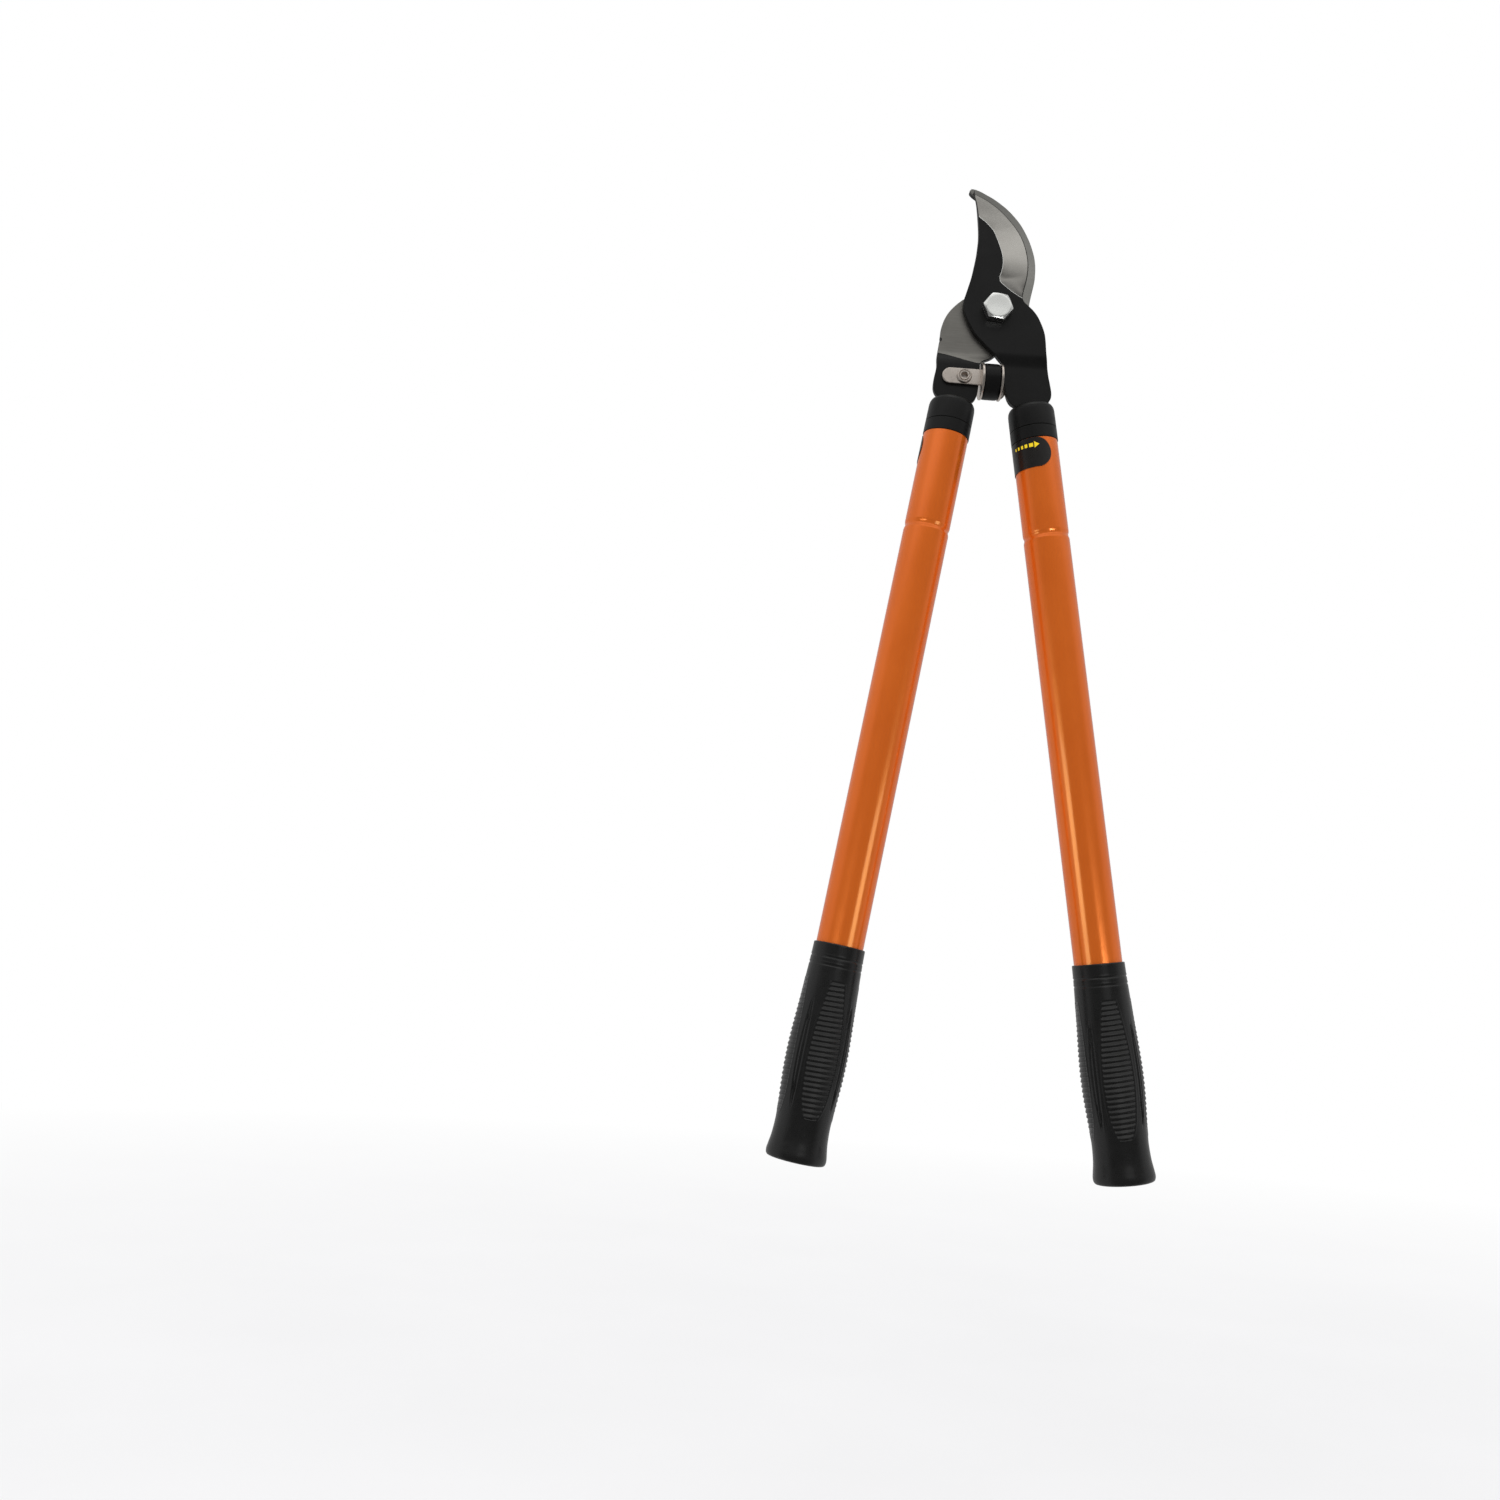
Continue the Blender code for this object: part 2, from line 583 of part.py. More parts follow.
def bumper_bracket():
    """The hook arm's bracket, on its front."""
    bracket("bumper_bracket",
            strap_outline(STRAP_LEFT, FLANGE_LEFT[1] - STRAP_SINK, PLAIN_END),
            STRAP_BACK - STRAP_T,
            [circle(STRAP_RIVET_X, STRAP_Z, STRAP_RIVET_R + GAP)],
            "bumper_flange", FLANGE_LEFT)


def stop_bracket():
    """The blade arm's bracket, on its back: a strap outline mirrored in x."""
    outline = strap_outline(-STOP_RIGHT, -(FLANGE_RIGHT[0] + STRAP_SINK), FLARED_END)
    bracket("stop_bracket", [Vector((-p[0], p[1])) for p in reversed(outline)],
            HALF_T + GAP, [], "stop_flange", FLANGE_RIGHT)


def bumper_rubber():
    left, right = FLANGE_LEFT[1] + GAP, FLANGE_RIGHT[0] - GAP
    rubber = turned("bumper_rubber", [
        (0, left), (BUMPER_R - 0.6, left), (BUMPER_R, left + 0.6),
        (BUMPER_R, right - 0.8), (BUMPER_R - 0.8, right), (0, right)])
    place(rubber, AT_BUMPER)
    finish(rubber, "rubber")


def bumper_rivet():
    """The rivet through bracket and hook arm, its front head hollowed."""
    head, tail = STRAP_BACK - STRAP_T - GAP, HALF_T + GAP
    rivet = turned("bumper_rivet", [
        (2.5, head - 1.4), (4.7, head - 1.4), (5.4, head - 0.6), (5.4, head),
        (STRAP_RIVET_R, head), (STRAP_RIVET_R, tail), (5.0, tail),
        (4.6, HALF_T + 1.5), (0, HALF_T + 1.6),
        (0, head + 2.4), (2.2, head + 2.2)], 20)
    place(rivet, shift(STRAP_RIVET_X, STRAP_Z) @ ALONG_Y)
    finish(rivet, "nickel")


# -------------------------------------------------------------------- handles
# A handle's pieces are built about local Z, with -Z down the handle, and
# parented to the empty that holds the handle's place and lean.
AT_RIVET = shift(0, -RIVET_S) @ ALONG_Y


def handle_turned(name, profile):
    """Spins (radius, distance down the axis) points about the handle's axis."""
    return turned(name, [(radius, -down) for radius, down in profile])


def tang_collar(name):
    """A slotted plug over the tang, round the inner tube's top end."""
    outer, plug = INNER_R + GAP, INNER_R - INNER_WALL - GAP
    plug_end = 100.0
    collar = handle_turned(name, [
        (0, COLLAR_TOP), (12.0, COLLAR_TOP), (13.8, 72.4), (15.2, 73.5),
        (16.1, 75.3), (16.4, 77.5), (COLLAR_R, 84), (COLLAR_R, COLLAR_END),
        (outer, COLLAR_END), (outer, INNER_TOP - GAP), (plug, INNER_TOP - GAP),
        (plug, plug_end), (0, plug_end)])
    half_x, half_y = TANG_HALF + SLOT_CLEARANCE, HALF_T + SLOT_CLEARANCE
    slot = block_cutter("slot", (-half_x, -half_y, -130), (half_x, half_y, -60))
    boolean(collar, slot, "DIFFERENCE")
    return collar


def inner_tube(name):
    bore = INNER_R - INNER_WALL
    tube = handle_turned(name, [(INNER_R, INNER_TOP), (INNER_R, INNER_END),
                                (bore, INNER_END), (bore, INNER_TOP)])
    drill = prism("drill", SMALL_SEG, RIVET_R + GAP, -CUT_REACH, CUT_REACH,
                  collection=cutters)
    place(drill, AT_RIVET)
    boolean(tube, drill, "DIFFERENCE")
    return tube


def tang_rivet(name):
    narrow, shoulder = RIVET_R - 0.3, RIVET_HALF - 0.4
    rivet = turned(name, [
        (0, -RIVET_HALF), (narrow, -RIVET_HALF), (RIVET_R, -shoulder),
        (RIVET_R, shoulder), (narrow, RIVET_HALF), (0, RIVET_HALF)], SMALL_SEG)
    place(rivet, AT_RIVET)
    return rivet


def expander_stud(name):
    """A plug in the inner tube's end, its flange, and the stud below."""
    flange_top, flange_end = INNER_END + GAP, INNER_END + STUD_FLANGE_T
    chamfer = 0.8
    return handle_turned(name, [
        (0, STUD_TOP), (STUD_PLUG_R - 0.5, STUD_TOP), (STUD_PLUG_R, STUD_TOP + 0.6),
        (STUD_PLUG_R, flange_top), (INNER_R, flange_top), (INNER_R, flange_end),
        (STUD_R, flange_end), (STUD_R, STUD_END - chamfer),
        (STUD_R - chamfer, STUD_END), (0, STUD_END)])


def expander_collet(name):
    """A sleeve with a tapered bore and crossed slits in its lower end."""
    bore = STUD_R + 0.5
    collet = handle_turned(name, [
        (COLLET_R - 0.6, COLLET_TOP), (COLLET_R, COLLET_TOP + 0.8),
        (COLLET_R, COLLET_END), (TAPER_END_R, COLLET_END),
        (TAPER_TOP_R, TAPER_TOP), (bore, TAPER_TOP), (bore, COLLET_TOP)])
    below = -COLLET_END - 5
    slits = block_cutter("slit_a", (-SLIT_REACH, -SLIT_HALF, below),
                         (SLIT_REACH, SLIT_HALF, -SLIT_TOP))
    boolean(slits, block_cutter("slit_b", (-SLIT_HALF, -SLIT_REACH, below),
                                (SLIT_HALF, SLIT_REACH, -SLIT_TOP)), "UNION")
    boolean(collet, slits, "DIFFERENCE")
    return collet


def expander_cone(name):
    """The cone inside the collet, parallel to its tapered bore."""
    slope = (TAPER_END_R - TAPER_TOP_R) / (COLLET_END - TAPER_TOP)

    def cone_r(down):
        return TAPER_TOP_R + slope * (down - TAPER_TOP) - CONE_CLEARANCE

    return handle_turned(name, [
        (cone_r(CONE_TOP), CONE_TOP), (cone_r(CONE_WIDE), CONE_WIDE),
        (cone_r(CONE_WIDE) - 0.4, CONE_END), (STUD_R + GAP, CONE_END),
        (STUD_R + GAP, CONE_TOP)])


def guide_ring(name):
    """A ring between the collar and the outer tube, with a sleeve below."""
    bore, chamfer = INNER_R + GAP, 0.4
    return handle_turned(name, [
        (bore, RING_TOP), (RING_R - chamfer, RING_TOP),
        (RING_R, RING_TOP + chamfer), (RING_R, RING_END), (SLEEVE_R, RING_END),
        (SLEEVE_R, SLEEVE_END), (bore, SLEEVE_END)])


def outer_tube(name):
    """The sliding tube, pressed in at its bead."""
    stations = ([(TUBE_TOP, 0.0)] + [(BEAD_S + off, share) for off, share in BEAD]
                + [(TUBE_END, 0.0)])
    outside = [(TUBE_R - BEAD_D * share, down) for down, share in stations]
    bore = [(radius - TUBE_WALL, down) for radius, down in reversed(outside)]
    return handle_turned(name, outside + bore)


def grip(name):
    bore = TUBE_R + GAP
    return handle_turned(name, [(bore + 0.5, GRIP_TOP)] + GRIP + [
        (0, GRIP_END), (0, TUBE_END + GAP), (bore, TUBE_END + GAP),
        (bore, GRIP_TOP)])


def label(name, end_angle):
    """A round-ended band wrapped on the outer tube, below the ring."""
    radius, half = TUBE_R + LABEL_LIFT, LABEL_H / 2
    bm = bmesh.new()
    grid = []
    for i in range(LABEL_COLS + 1):
        line = []
        for j in range(LABEL_ROWS + 1):
            v = -math.cos(math.pi * j / LABEL_ROWS)
            # Each end is nearly a half circle along the arc; 0.97 leaves
            # the top and bottom rows slightly short of its full depth.
            cap = half * (1 - math.sqrt(1 - (0.97 * v) ** 2))
            arc_end = radius * math.radians(end_angle) - cap
            arc_start = radius * math.radians(end_angle - LABEL_SPAN) + cap
            angle = (arc_start + (arc_end - arc_start) * i / LABEL_COLS) / radius
            line.append(bm.verts.new((radius * math.sin(angle) * MM,
                                      -radius * math.cos(angle) * MM,
                                      -(LABEL_TOP + half + half * v) * MM)))
        grid.append(line)
    for i in range(LABEL_COLS):
        for j in range(LABEL_ROWS):
            bm.faces.new((grid[i][j], grid[i][j + 1],
                          grid[i + 1][j + 1], grid[i + 1][j]))
    bmesh.ops.recalc_face_normals(bm, faces=bm.faces)
    # The band is open, so its normals may have come out facing the axis.
    outward = sum(face.normal.dot(face.calc_center_median() * Vector((1, 1, 0)))
                  for face in bm.faces)
    if outward < 0:
        bmesh.ops.reverse_faces(bm, faces=bm.faces)
    obj = from_bmesh(name, bm)
    mod = obj.modifiers.new("thickness", "SOLIDIFY")
    mod.thickness = LABEL_T * MM
    mod.offset = 1.0
    return obj


def axis_empty(name):
    empty = bpy.data.objects.new(name, None)
    empty.empty_display_size = 0.03
    parts.objects.link(empty)
    return empty


HANDLE_PIECES = [            # name after the side, builder, finish
    ("tang_collar", tang_collar, "nylon_black"),
    ("inner_tube", inner_tube, "aluminium"),
    ("tang_rivet", tang_rivet, "zinc"),
    ("expander_stud", expander_stud, "zinc"),
    ("expander_collet", expander_collet, "nylon_black"),
    ("expander_cone", expander_cone, "nylon_white"),
    ("guide_ring", guide_ring, "nylon_black"),
    ("outer_tube", outer_tube, "orange"),
    ("grip", grip, "grip_black"),
]


def handle(side):
    """One handle; its twist and slide lie on the empty's local Z."""
    prefix = "left_" if side < 0 else "right_"
    axis = axis_empty(prefix + "handle_axis")
    axis.location = (side * HANDLE_FOOT * MM, 0, 0)
    axis.rotation_euler = (0, -side * math.radians(HANDLE_ANGLE), 0)

    def attach(obj, finish_name):
        obj.parent = axis
        finish(obj, finish_name)

    for name, build, finish_name in HANDLE_PIECES:
        attach(build(prefix + name), finish_name)
    attach(label(prefix + "label", LABEL_ENDS[side]), "label_black")


# ------------------------------------------------------------------- assembly
for build_piece in (blade_plate, hook_plate,
                    pivot_bolt, pivot_bush, pivot_washer, lock_nut, nut_insert,
                    bumper_bracket, bumper_rubber, stop_bracket, bumper_rivet):
    build_piece()
handle(-1)
handle(1)
axis_empty("pivot_axis")     # the arms turn about its Y axis

# Set everything back, so that the bolt head's front face is at y = 0.
for part in parts.objects:
    if part.parent is None:
        part.location.y -= HEAD_FACE * MM
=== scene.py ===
"""Bypass loppers: a blade plate and a hook plate on one pivot, each with a
telescopic handle.

The pivot's axis runs along Y through x = 0, z = 0.  The jaws point up (+Z), the
handles hang down and lean apart, and the front faces -Y.  The blade plate lies in
front and carries the right handle (+X); the hook plate carries the left one.
Pieces are modelled in mm and scaled to metres."""
import json
import math

import bmesh
import bpy
import numpy as np
from mathutils import Matrix, Vector
from mathutils.geometry import delaunay_2d_cdt

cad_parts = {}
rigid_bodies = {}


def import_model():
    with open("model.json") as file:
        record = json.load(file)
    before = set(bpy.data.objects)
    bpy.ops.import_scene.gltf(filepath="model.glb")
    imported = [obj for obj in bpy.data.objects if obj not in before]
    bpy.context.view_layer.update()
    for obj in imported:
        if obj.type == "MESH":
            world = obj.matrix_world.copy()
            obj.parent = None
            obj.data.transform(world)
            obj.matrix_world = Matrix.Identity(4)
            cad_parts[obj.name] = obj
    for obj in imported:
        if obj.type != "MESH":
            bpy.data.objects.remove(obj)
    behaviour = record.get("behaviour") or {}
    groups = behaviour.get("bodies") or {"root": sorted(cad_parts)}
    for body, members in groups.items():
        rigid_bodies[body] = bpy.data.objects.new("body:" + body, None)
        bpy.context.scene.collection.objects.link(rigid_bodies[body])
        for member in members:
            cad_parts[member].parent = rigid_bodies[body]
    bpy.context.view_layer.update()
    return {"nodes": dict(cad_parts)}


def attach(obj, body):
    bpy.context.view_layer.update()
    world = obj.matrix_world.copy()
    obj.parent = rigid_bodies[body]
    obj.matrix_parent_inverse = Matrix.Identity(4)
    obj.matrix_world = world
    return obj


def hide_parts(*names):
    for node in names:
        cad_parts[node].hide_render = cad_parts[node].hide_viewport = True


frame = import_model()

scene = bpy.context.scene

# Sizes in mm, angles in degrees.
MM = 0.001
MID_Y = 12.45               # y of the plane between the two plates
HANDLE_LEAN = 8.61          # each handle's angle from the vertical
HANDLE_FOOT = 17.12         # |x| where a handle's axis meets z = 0
PLATE_IN = 0.15             # inner and outer face of a plate, from MID_Y
PLATE_OUT = 4.65
PIVOT_HOLE_R = 8.3
BEND_TOP, BEND_END = -34.2, -40.2   # z range where the plates are set over
SET_OVER = 2.4
STEP = 0.8                  # spacing of points along the plates' outlines
TANG_RIVET_AT = 112.0       # down the handle's axis
TANG_HOLE_R = 3.3
BUMPER_RIVET_X = -21.3
BUMPER_RIVET_HOLE_R = 3.5
STRAP_Z = -52.3             # middle of the bumper's straps, and of their rivet
STRAP_HALF = 6.0
STRAP_IN, STRAP_OUT = 2.55, 4.55    # faces of a strap, from MID_Y
BUMPER_Z = -53.5

# Turn a lathed piece's Z axis to Y or X.
ALONG_Y = Matrix(((1, 0, 0, 0), (0, 0, 1, 0), (0, -1, 0, 0), (0, 0, 0, 1)))
ALONG_X = Matrix(((0, 0, 1, 0), (0, 1, 0, 0), (-1, 0, 0, 0), (0, 0, 0, 1)))
PIVOT_AXIS = Matrix.Translation((0, MID_Y, 0)) @ ALONG_Y
BUMPER_AXIS = Matrix.Translation((0, MID_Y, BUMPER_Z)) @ ALONG_X


# ============================================================== node helpers
class Graph:
    """A short way to write a node tree."""

    def __init__(self, tree):
        self.tree = tree

    def feed(self, socket, value):
        """Links an output to the socket, or sets its value."""
        if isinstance(value, bpy.types.NodeSocket):
            self.tree.links.new(value, socket)
        else:
            socket.default_value = value

    def new(self, kind, inputs=None, **settings):
        node = self.tree.nodes.new(kind)
        for key, value in settings.items():
            setattr(node, key, value)
        for key, value in (inputs or {}).items():
            self.feed(node.inputs[key], value)
        return node

    def ramp(self, factor, stops, interpolation="LINEAR"):
        """stops is (position, (r, g, b)) pairs."""
        node = self.new("ShaderNodeValToRGB", {"Fac": factor})
        node.color_ramp.interpolation = interpolation
        elements = node.color_ramp.elements
        while len(elements) < len(stops):
            elements.new(0.5)
        for element, (position, colour) in zip(elements, stops):
            element.position = position
            element.color = (*colour, 1.0)
        return node.outputs["Color"]

    def span(self, factor, low, high, start=0.3, end=0.7, **settings):
        """Maps start..end to low..high."""
        return self.new("ShaderNodeMapRange", {
            "From Min": start, "From Max": end, "To Min": low, "To Max": high,
            "Value": factor}, **settings).outputs["Result"]

    def math(self, operation, *values):
        return self.new("ShaderNodeMath", dict(enumerate(values)),
                        operation=operation).outputs[0]

    def mix(self, factor, first, second, **settings):
        return self.new("ShaderNodeMix", {"Factor": factor, 6: first, 7: second},
                        data_type="RGBA", **settings).outputs[2]

    def mix_shader(self, factor, first, second):
        return self.new("ShaderNodeMixShader",
                        {0: factor, 1: first, 2: second}).outputs[0]


class Look(Graph):
    """A Principled material's node tree."""

    def __init__(self, name, rough, metal=0.0, spec=0.5, coat=0.0, coat_rough=0.1):
        self.material = bpy.data.materials.new(name)
        self.material.use_nodes = True
        super().__init__(self.material.node_tree)
        self.surface = self.tree.nodes["Principled BSDF"]
        for key, value in {"Metallic": metal, "Roughness": rough,
                           "Specular IOR Level": spec, "Coat Weight": coat,
                           "Coat Roughness": coat_rough}.items():
            self.surface.inputs[key].default_value = value
        self.place = self.new("ShaderNodeTexCoord").outputs["Object"]

    def noise(self, scale, detail=2.0, rough=0.5, stretch=None):
        node = self.new("ShaderNodeTexNoise", {
            "Scale": scale, "Detail": detail, "Roughness": rough})
        place = self.place
        if stretch:
            place = self.new("ShaderNodeMapping", {
                "Scale": stretch, "Vector": place}).outputs["Vector"]
        self.feed(node.inputs["Vector"], place)
        return node.outputs["Fac"]

    def blend(self, first, second, share):
        """share of the first plus the rest of the second."""
        return self.math("ADD", self.math("MULTIPLY", first, share),
                         self.math("MULTIPLY", second, 1 - share))

    def two_tone(self, factor, dark, light, start=0.3, end=0.7):
        return self.ramp(factor, [(start, dark), (end, light)])

    def colour(self, value):
        self.feed(self.surface.inputs["Base Color"], value)

    def rough(self, factor, low, high):
        self.feed(self.surface.inputs["Roughness"], self.span(factor, low, high))

    def bump(self, height, strength, distance):
        node = self.new("ShaderNodeBump", {
            "Strength": strength, "Distance": distance, "Height": height})
        self.feed(self.surface.inputs["Normal"], node.outputs["Normal"])


def grey(value):
    return (value, value, value)


# ================================================================= materials
def make_coat():
    look = Look("coated_steel_look", rough=0.42, spec=0.26)
    cloud = look.noise(scale=38.0, detail=3.0)
    look.colour(look.two_tone(cloud, dark=grey(0.0030), light=grey(0.0052)))
    look.rough(look.noise(scale=160.0, detail=4.0), low=0.36, high=0.47)
    look.bump(look.noise(scale=1500.0, detail=3.0, rough=0.6),
              strength=0.10, distance=0.00008)
    return look.material


def make_steel(name, dark, light, rough, streak, depth, painted_shade=()):
    """Machined steel: streaks over soft cloudy patches.  streak is the noise's
    scale along x, y and z; the last argument is (height in mm, factor) pairs of
    painted shade, which darkens the colour by height to stand in for how the
    steel's reflections fall."""
    look = Look(name, rough=rough, metal=1.0)
    lines = look.noise(scale=1.0, detail=5.0, rough=0.65, stretch=streak)
    cloud = look.noise(scale=46.0, detail=3.0, rough=0.55)
    both = look.blend(lines, cloud, share=0.45)
    tint = look.two_tone(both, dark, light, start=0.34, end=0.66)
    # Painted shade: the tint is darkened by height.
    if painted_shade:
        top = 100.0     # mm; the ramp covers the heights from 0 to this
        split = look.new("ShaderNodeSeparateXYZ", {"Vector": look.place})
        height = look.span(split.outputs["Z"], low=0.0, high=1.0,
                           start=0.0, end=top * MM)
        tone = look.ramp(height, [(z / top, grey(factor)) for z, factor in painted_shade])
        tint = look.mix(1.0, tint, tone, blend_type="MULTIPLY")
    look.colour(tint)
    look.rough(both, low=rough - 0.06, high=rough + 0.07)
    look.bump(lines, strength=depth, distance=0.00005)
    return look.material


def make_plated(name, dark, light, rough, scale, bump):
    """Plated metal with a slightly mottled, satin skin."""
    look = Look(name, rough=rough, metal=1.0)
    cell = look.noise(scale=scale, detail=4.0, rough=0.6)
    broad = look.noise(scale=scale * 0.18)
    look.colour(look.two_tone(look.blend(cell, broad, share=0.5), dark, light,
                              start=0.32, end=0.68))
    look.rough(cell, low=rough - 0.05, high=rough + 0.08)
    look.bump(cell, strength=bump, distance=0.0001)
    return look.material


def make_moulded(name, low, high, rough, spec, grain, bump):
    """Moulded nylon or rubber with a fine grain; low and high are greys."""
    look = Look(name, rough=rough, spec=spec)
    look.colour(look.two_tone(look.noise(scale=55.0, detail=3.0),
                              dark=grey(low), light=grey(high)))
    look.rough(look.noise(scale=240.0, detail=3.0), low=rough - 0.05, high=rough + 0.06)
    look.bump(look.noise(scale=grain, detail=3.0, rough=0.6),
              strength=bump, distance=0.00008)
    return look.material


def make_paint():
    look = Look("orange_paint_look", rough=0.20, metal=0.40, coat=0.20, coat_rough=0.06)
    look.colour(look.two_tone(look.noise(scale=30.0, detail=3.0),
                              dark=(0.750, 0.143, 0.0095),
                              light=(0.785, 0.155, 0.0110)))
    look.rough(look.noise(scale=60.0), low=0.185, high=0.22)
    look.bump(look.noise(scale=90.0), strength=0.010, distance=0.00010)
    return look.material


def make_alloy():
    """Bare tube with drawing lines along its length."""
    look = Look("tube_alloy_look", rough=0.32, metal=1.0)
    drawn = look.noise(scale=1.0, detail=4.0, rough=0.6, stretch=(1400.0, 1400.0, 9.0))
    look.colour(look.two_tone(drawn, dark=(0.56, 0.565, 0.57),
                              light=(0.68, 0.685, 0.69)))
    look.rough(look.noise(scale=120.0, detail=3.0), low=0.27, high=0.36)
    look.bump(drawn, strength=0.12, distance=0.00005)
    return look.material


def make_film(name, dark, light, rough):
    look = Look(name, rough=rough, spec=0.4)
    look.colour(look.two_tone(look.noise(scale=120.0, detail=3.0), dark, light))
    look.rough(look.noise(scale=400.0, detail=3.0), low=rough - 0.04, high=rough + 0.05)
    look.bump(look.noise(scale=900.0), strength=0.04, distance=0.00005)
    return look.material


COAT = make_coat()
# The ground bevel's colour is darkened by height with painted shade.
GROUND_STEEL = make_steel(
    "ground_steel_look", dark=(0.40, 0.385, 0.36), light=(0.54, 0.525, 0.495),
    rough=0.25, streak=(420.0, 300.0, 1300.0), depth=0.02,
    painted_shade=((10, 0.44), (22, 0.52), (33, 0.82), (45, 1.0), (62, 0.98), (80, 0.84)))
FLAT_STEEL = make_steel(
    "flat_steel_look", dark=(0.215, 0.208, 0.193), light=(0.305, 0.295, 0.275),
    rough=0.42, streak=(80.0, 300.0, 1500.0), depth=0.03)
# The hook's jaw is also darkened by height with painted shade.
HOOK_STEEL = make_steel(
    "hook_steel_look", dark=(0.31, 0.306, 0.288), light=(0.42, 0.415, 0.392),
    rough=0.38, streak=(220.0, 300.0, 1100.0), depth=0.02,
    painted_shade=((10, 0.90), (33, 1.0), (60, 0.82), (86, 0.62)))
# Dark steel that paints the shadow along the blade's cutting edge.
PAINTED_EDGE_SHADOW = make_steel(
    "edge_line_look", dark=(0.060, 0.058, 0.055), light=(0.105, 0.102, 0.096),
    rough=0.34, streak=(420.0, 300.0, 1300.0), depth=0.02)
ZINC = make_plated("zinc_steel_look", dark=(0.82, 0.83, 0.81), light=(0.96, 0.97, 0.95),
                   rough=0.27, scale=480.0, bump=0.05)
NICKEL = make_plated("nickel_steel_look", dark=(0.61, 0.545, 0.495),
                     light=(0.73, 0.665, 0.61), rough=0.30, scale=420.0, bump=0.04)
BRONZE = make_plated("bronze_look", dark=(0.35, 0.22, 0.10), light=(0.48, 0.32, 0.16),
                     rough=0.38, scale=500.0, bump=0.10)
RUBBER = make_moulded("bumper_rubber_look", low=0.0030, high=0.0050,
                      rough=0.40, spec=0.18, grain=1400.0, bump=0.08)
BLACK_NYLON = make_moulded("black_nylon_look", low=0.0036, high=0.0056,
                           rough=0.38, spec=0.26, grain=1800.0, bump=0.06)
WHITE_NYLON = make_moulded("white_nylon_look", low=0.52, high=0.60,
                           rough=0.45, spec=0.40, grain=1500.0, bump=0.10)
GRIP_RUBBER = make_moulded("grip_rubber_look", low=0.0030, high=0.0048,
                           rough=0.28, spec=0.50, grain=1800.0, bump=0.05)
PAINT = make_paint()
ALLOY = make_alloy()
FILM = make_film("label_film_look", dark=(0.0060, 0.0048, 0.0044),
                 light=(0.0095, 0.0078, 0.0070), rough=0.30)
YELLOW = make_film("label_print_look", dark=(0.92, 0.66, 0.006),
                   light=(1.0, 0.75, 0.012), rough=0.42)


def slot_of(material):
    """The slot a material fills is its own name without the ending."""
    return material.name.removesuffix("_look")


# ============================================================ mesh utilities
def mark_sharp(solid, limit):
    """Smooth faces, with sharp edges over limit degrees or between materials."""
    for face in solid.faces:
        face.smooth = True
    for edge in solid.edges:
        if len(edge.link_faces) != 2:
            continue
        a, b = edge.link_faces
        if (a.material_index != b.material_index
                or edge.calc_face_angle(0.0) > math.radians(limit)):
            edge.smooth = False


def close_slivers(solid):
    """Fills the three-sided gaps that a triangulation leaves on a border."""
    gaps = [edge for edge in solid.edges if len(edge.link_faces) == 1]
    if not gaps:
        return
    filled = bmesh.ops.holes_fill(solid, edges=gaps, sides=3)["faces"]
    for face in filled:
        for edge in face.edges:
            for other in edge.link_faces:
                if other not in filled:
                    face.material_index = other.material_index
                    face.smooth = other.smooth


def face_outwards(solid):
    """Turns every closed shell so that its faces look out of it."""
    solid.normal_update()
    unseen = set(solid.faces)
    while unseen:
        first = unseen.pop()
        shell, queue = [first], [first]
        while queue:
            for edge in queue.pop().edges:
                for face in edge.link_faces:
                    if face in unseen:
                        unseen.remove(face)
                        shell.append(face)
                        queue.append(face)
        if sum(face.calc_center_median().dot(face.normal) * face.calc_area()
               for face in shell) < 0:
            bmesh.ops.reverse_faces(solid, faces=shell)
    solid.normal_update()


def weigh_normals(obj):
    obj.modifiers.new("normals", "WEIGHTED_NORMAL").keep_sharp = True


def add_piece(mesh, body, materials, node, matrix, weighted=True):
    """An object that rides a body and may stand for a CAD node."""
    obj = bpy.data.objects.new(mesh.name, mesh)
    scene.collection.objects.link(obj)
    for material in materials:
        mesh.materials.append(material)
    obj.matrix_world = matrix
    if weighted:
        weigh_normals(obj)
    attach(obj, body)
    if node:
        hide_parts(node)
    return obj


def solid_to_mesh(name, solid):
    mesh = bpy.data.meshes.new(name)
    solid.to_mesh(mesh)
    solid.free()
    mesh.transform(Matrix.Scale(MM, 4))
    return mesh


def publish(piece, solid, body, *materials, extra=False, slot=None, matrix=Matrix(),
            sharp=38.0):
    """Finishes a piece.  It stands for the CAD node of its name, unless extra."""
    close_slivers(solid)
    bmesh.ops.recalc_face_normals(solid, faces=solid.faces)
    face_outwards(solid)
    mark_sharp(solid, sharp)
    mesh = solid_to_mesh(piece if extra else piece + "_fine", solid)
    return add_piece(mesh, body, materials, None if extra else piece,
                     matrix)


def curve_through(points, step):
    """Points at most a step apart on a smooth curve through the given ones."""
    out, count = [], len(points)
    for i in range(count - 1):
        start, end = Vector(points[i]), Vector(points[i + 1])
        before = Vector(points[i - 1]) if i else start - (end - start)
        after = Vector(points[i + 2]) if i + 2 < count else end + (end - start)
        length = (end - start).length
        parts = max(1, int(math.ceil(length / step)))
        leave = (end - before) * (length / max(length + (start - before).length, 1e-9))
        arrive = (after - start) * (length / max(length + (after - end).length, 1e-9))
        for j in range(parts):
            t = j / parts
            out.append((2 * t**3 - 3 * t**2 + 1) * start
                       + (t**3 - 2 * t**2 + t) * leave
                       + (-2 * t**3 + 3 * t**2) * end + (t**3 - t**2) * arrive)
    out.append(Vector(points[-1]))
    return out


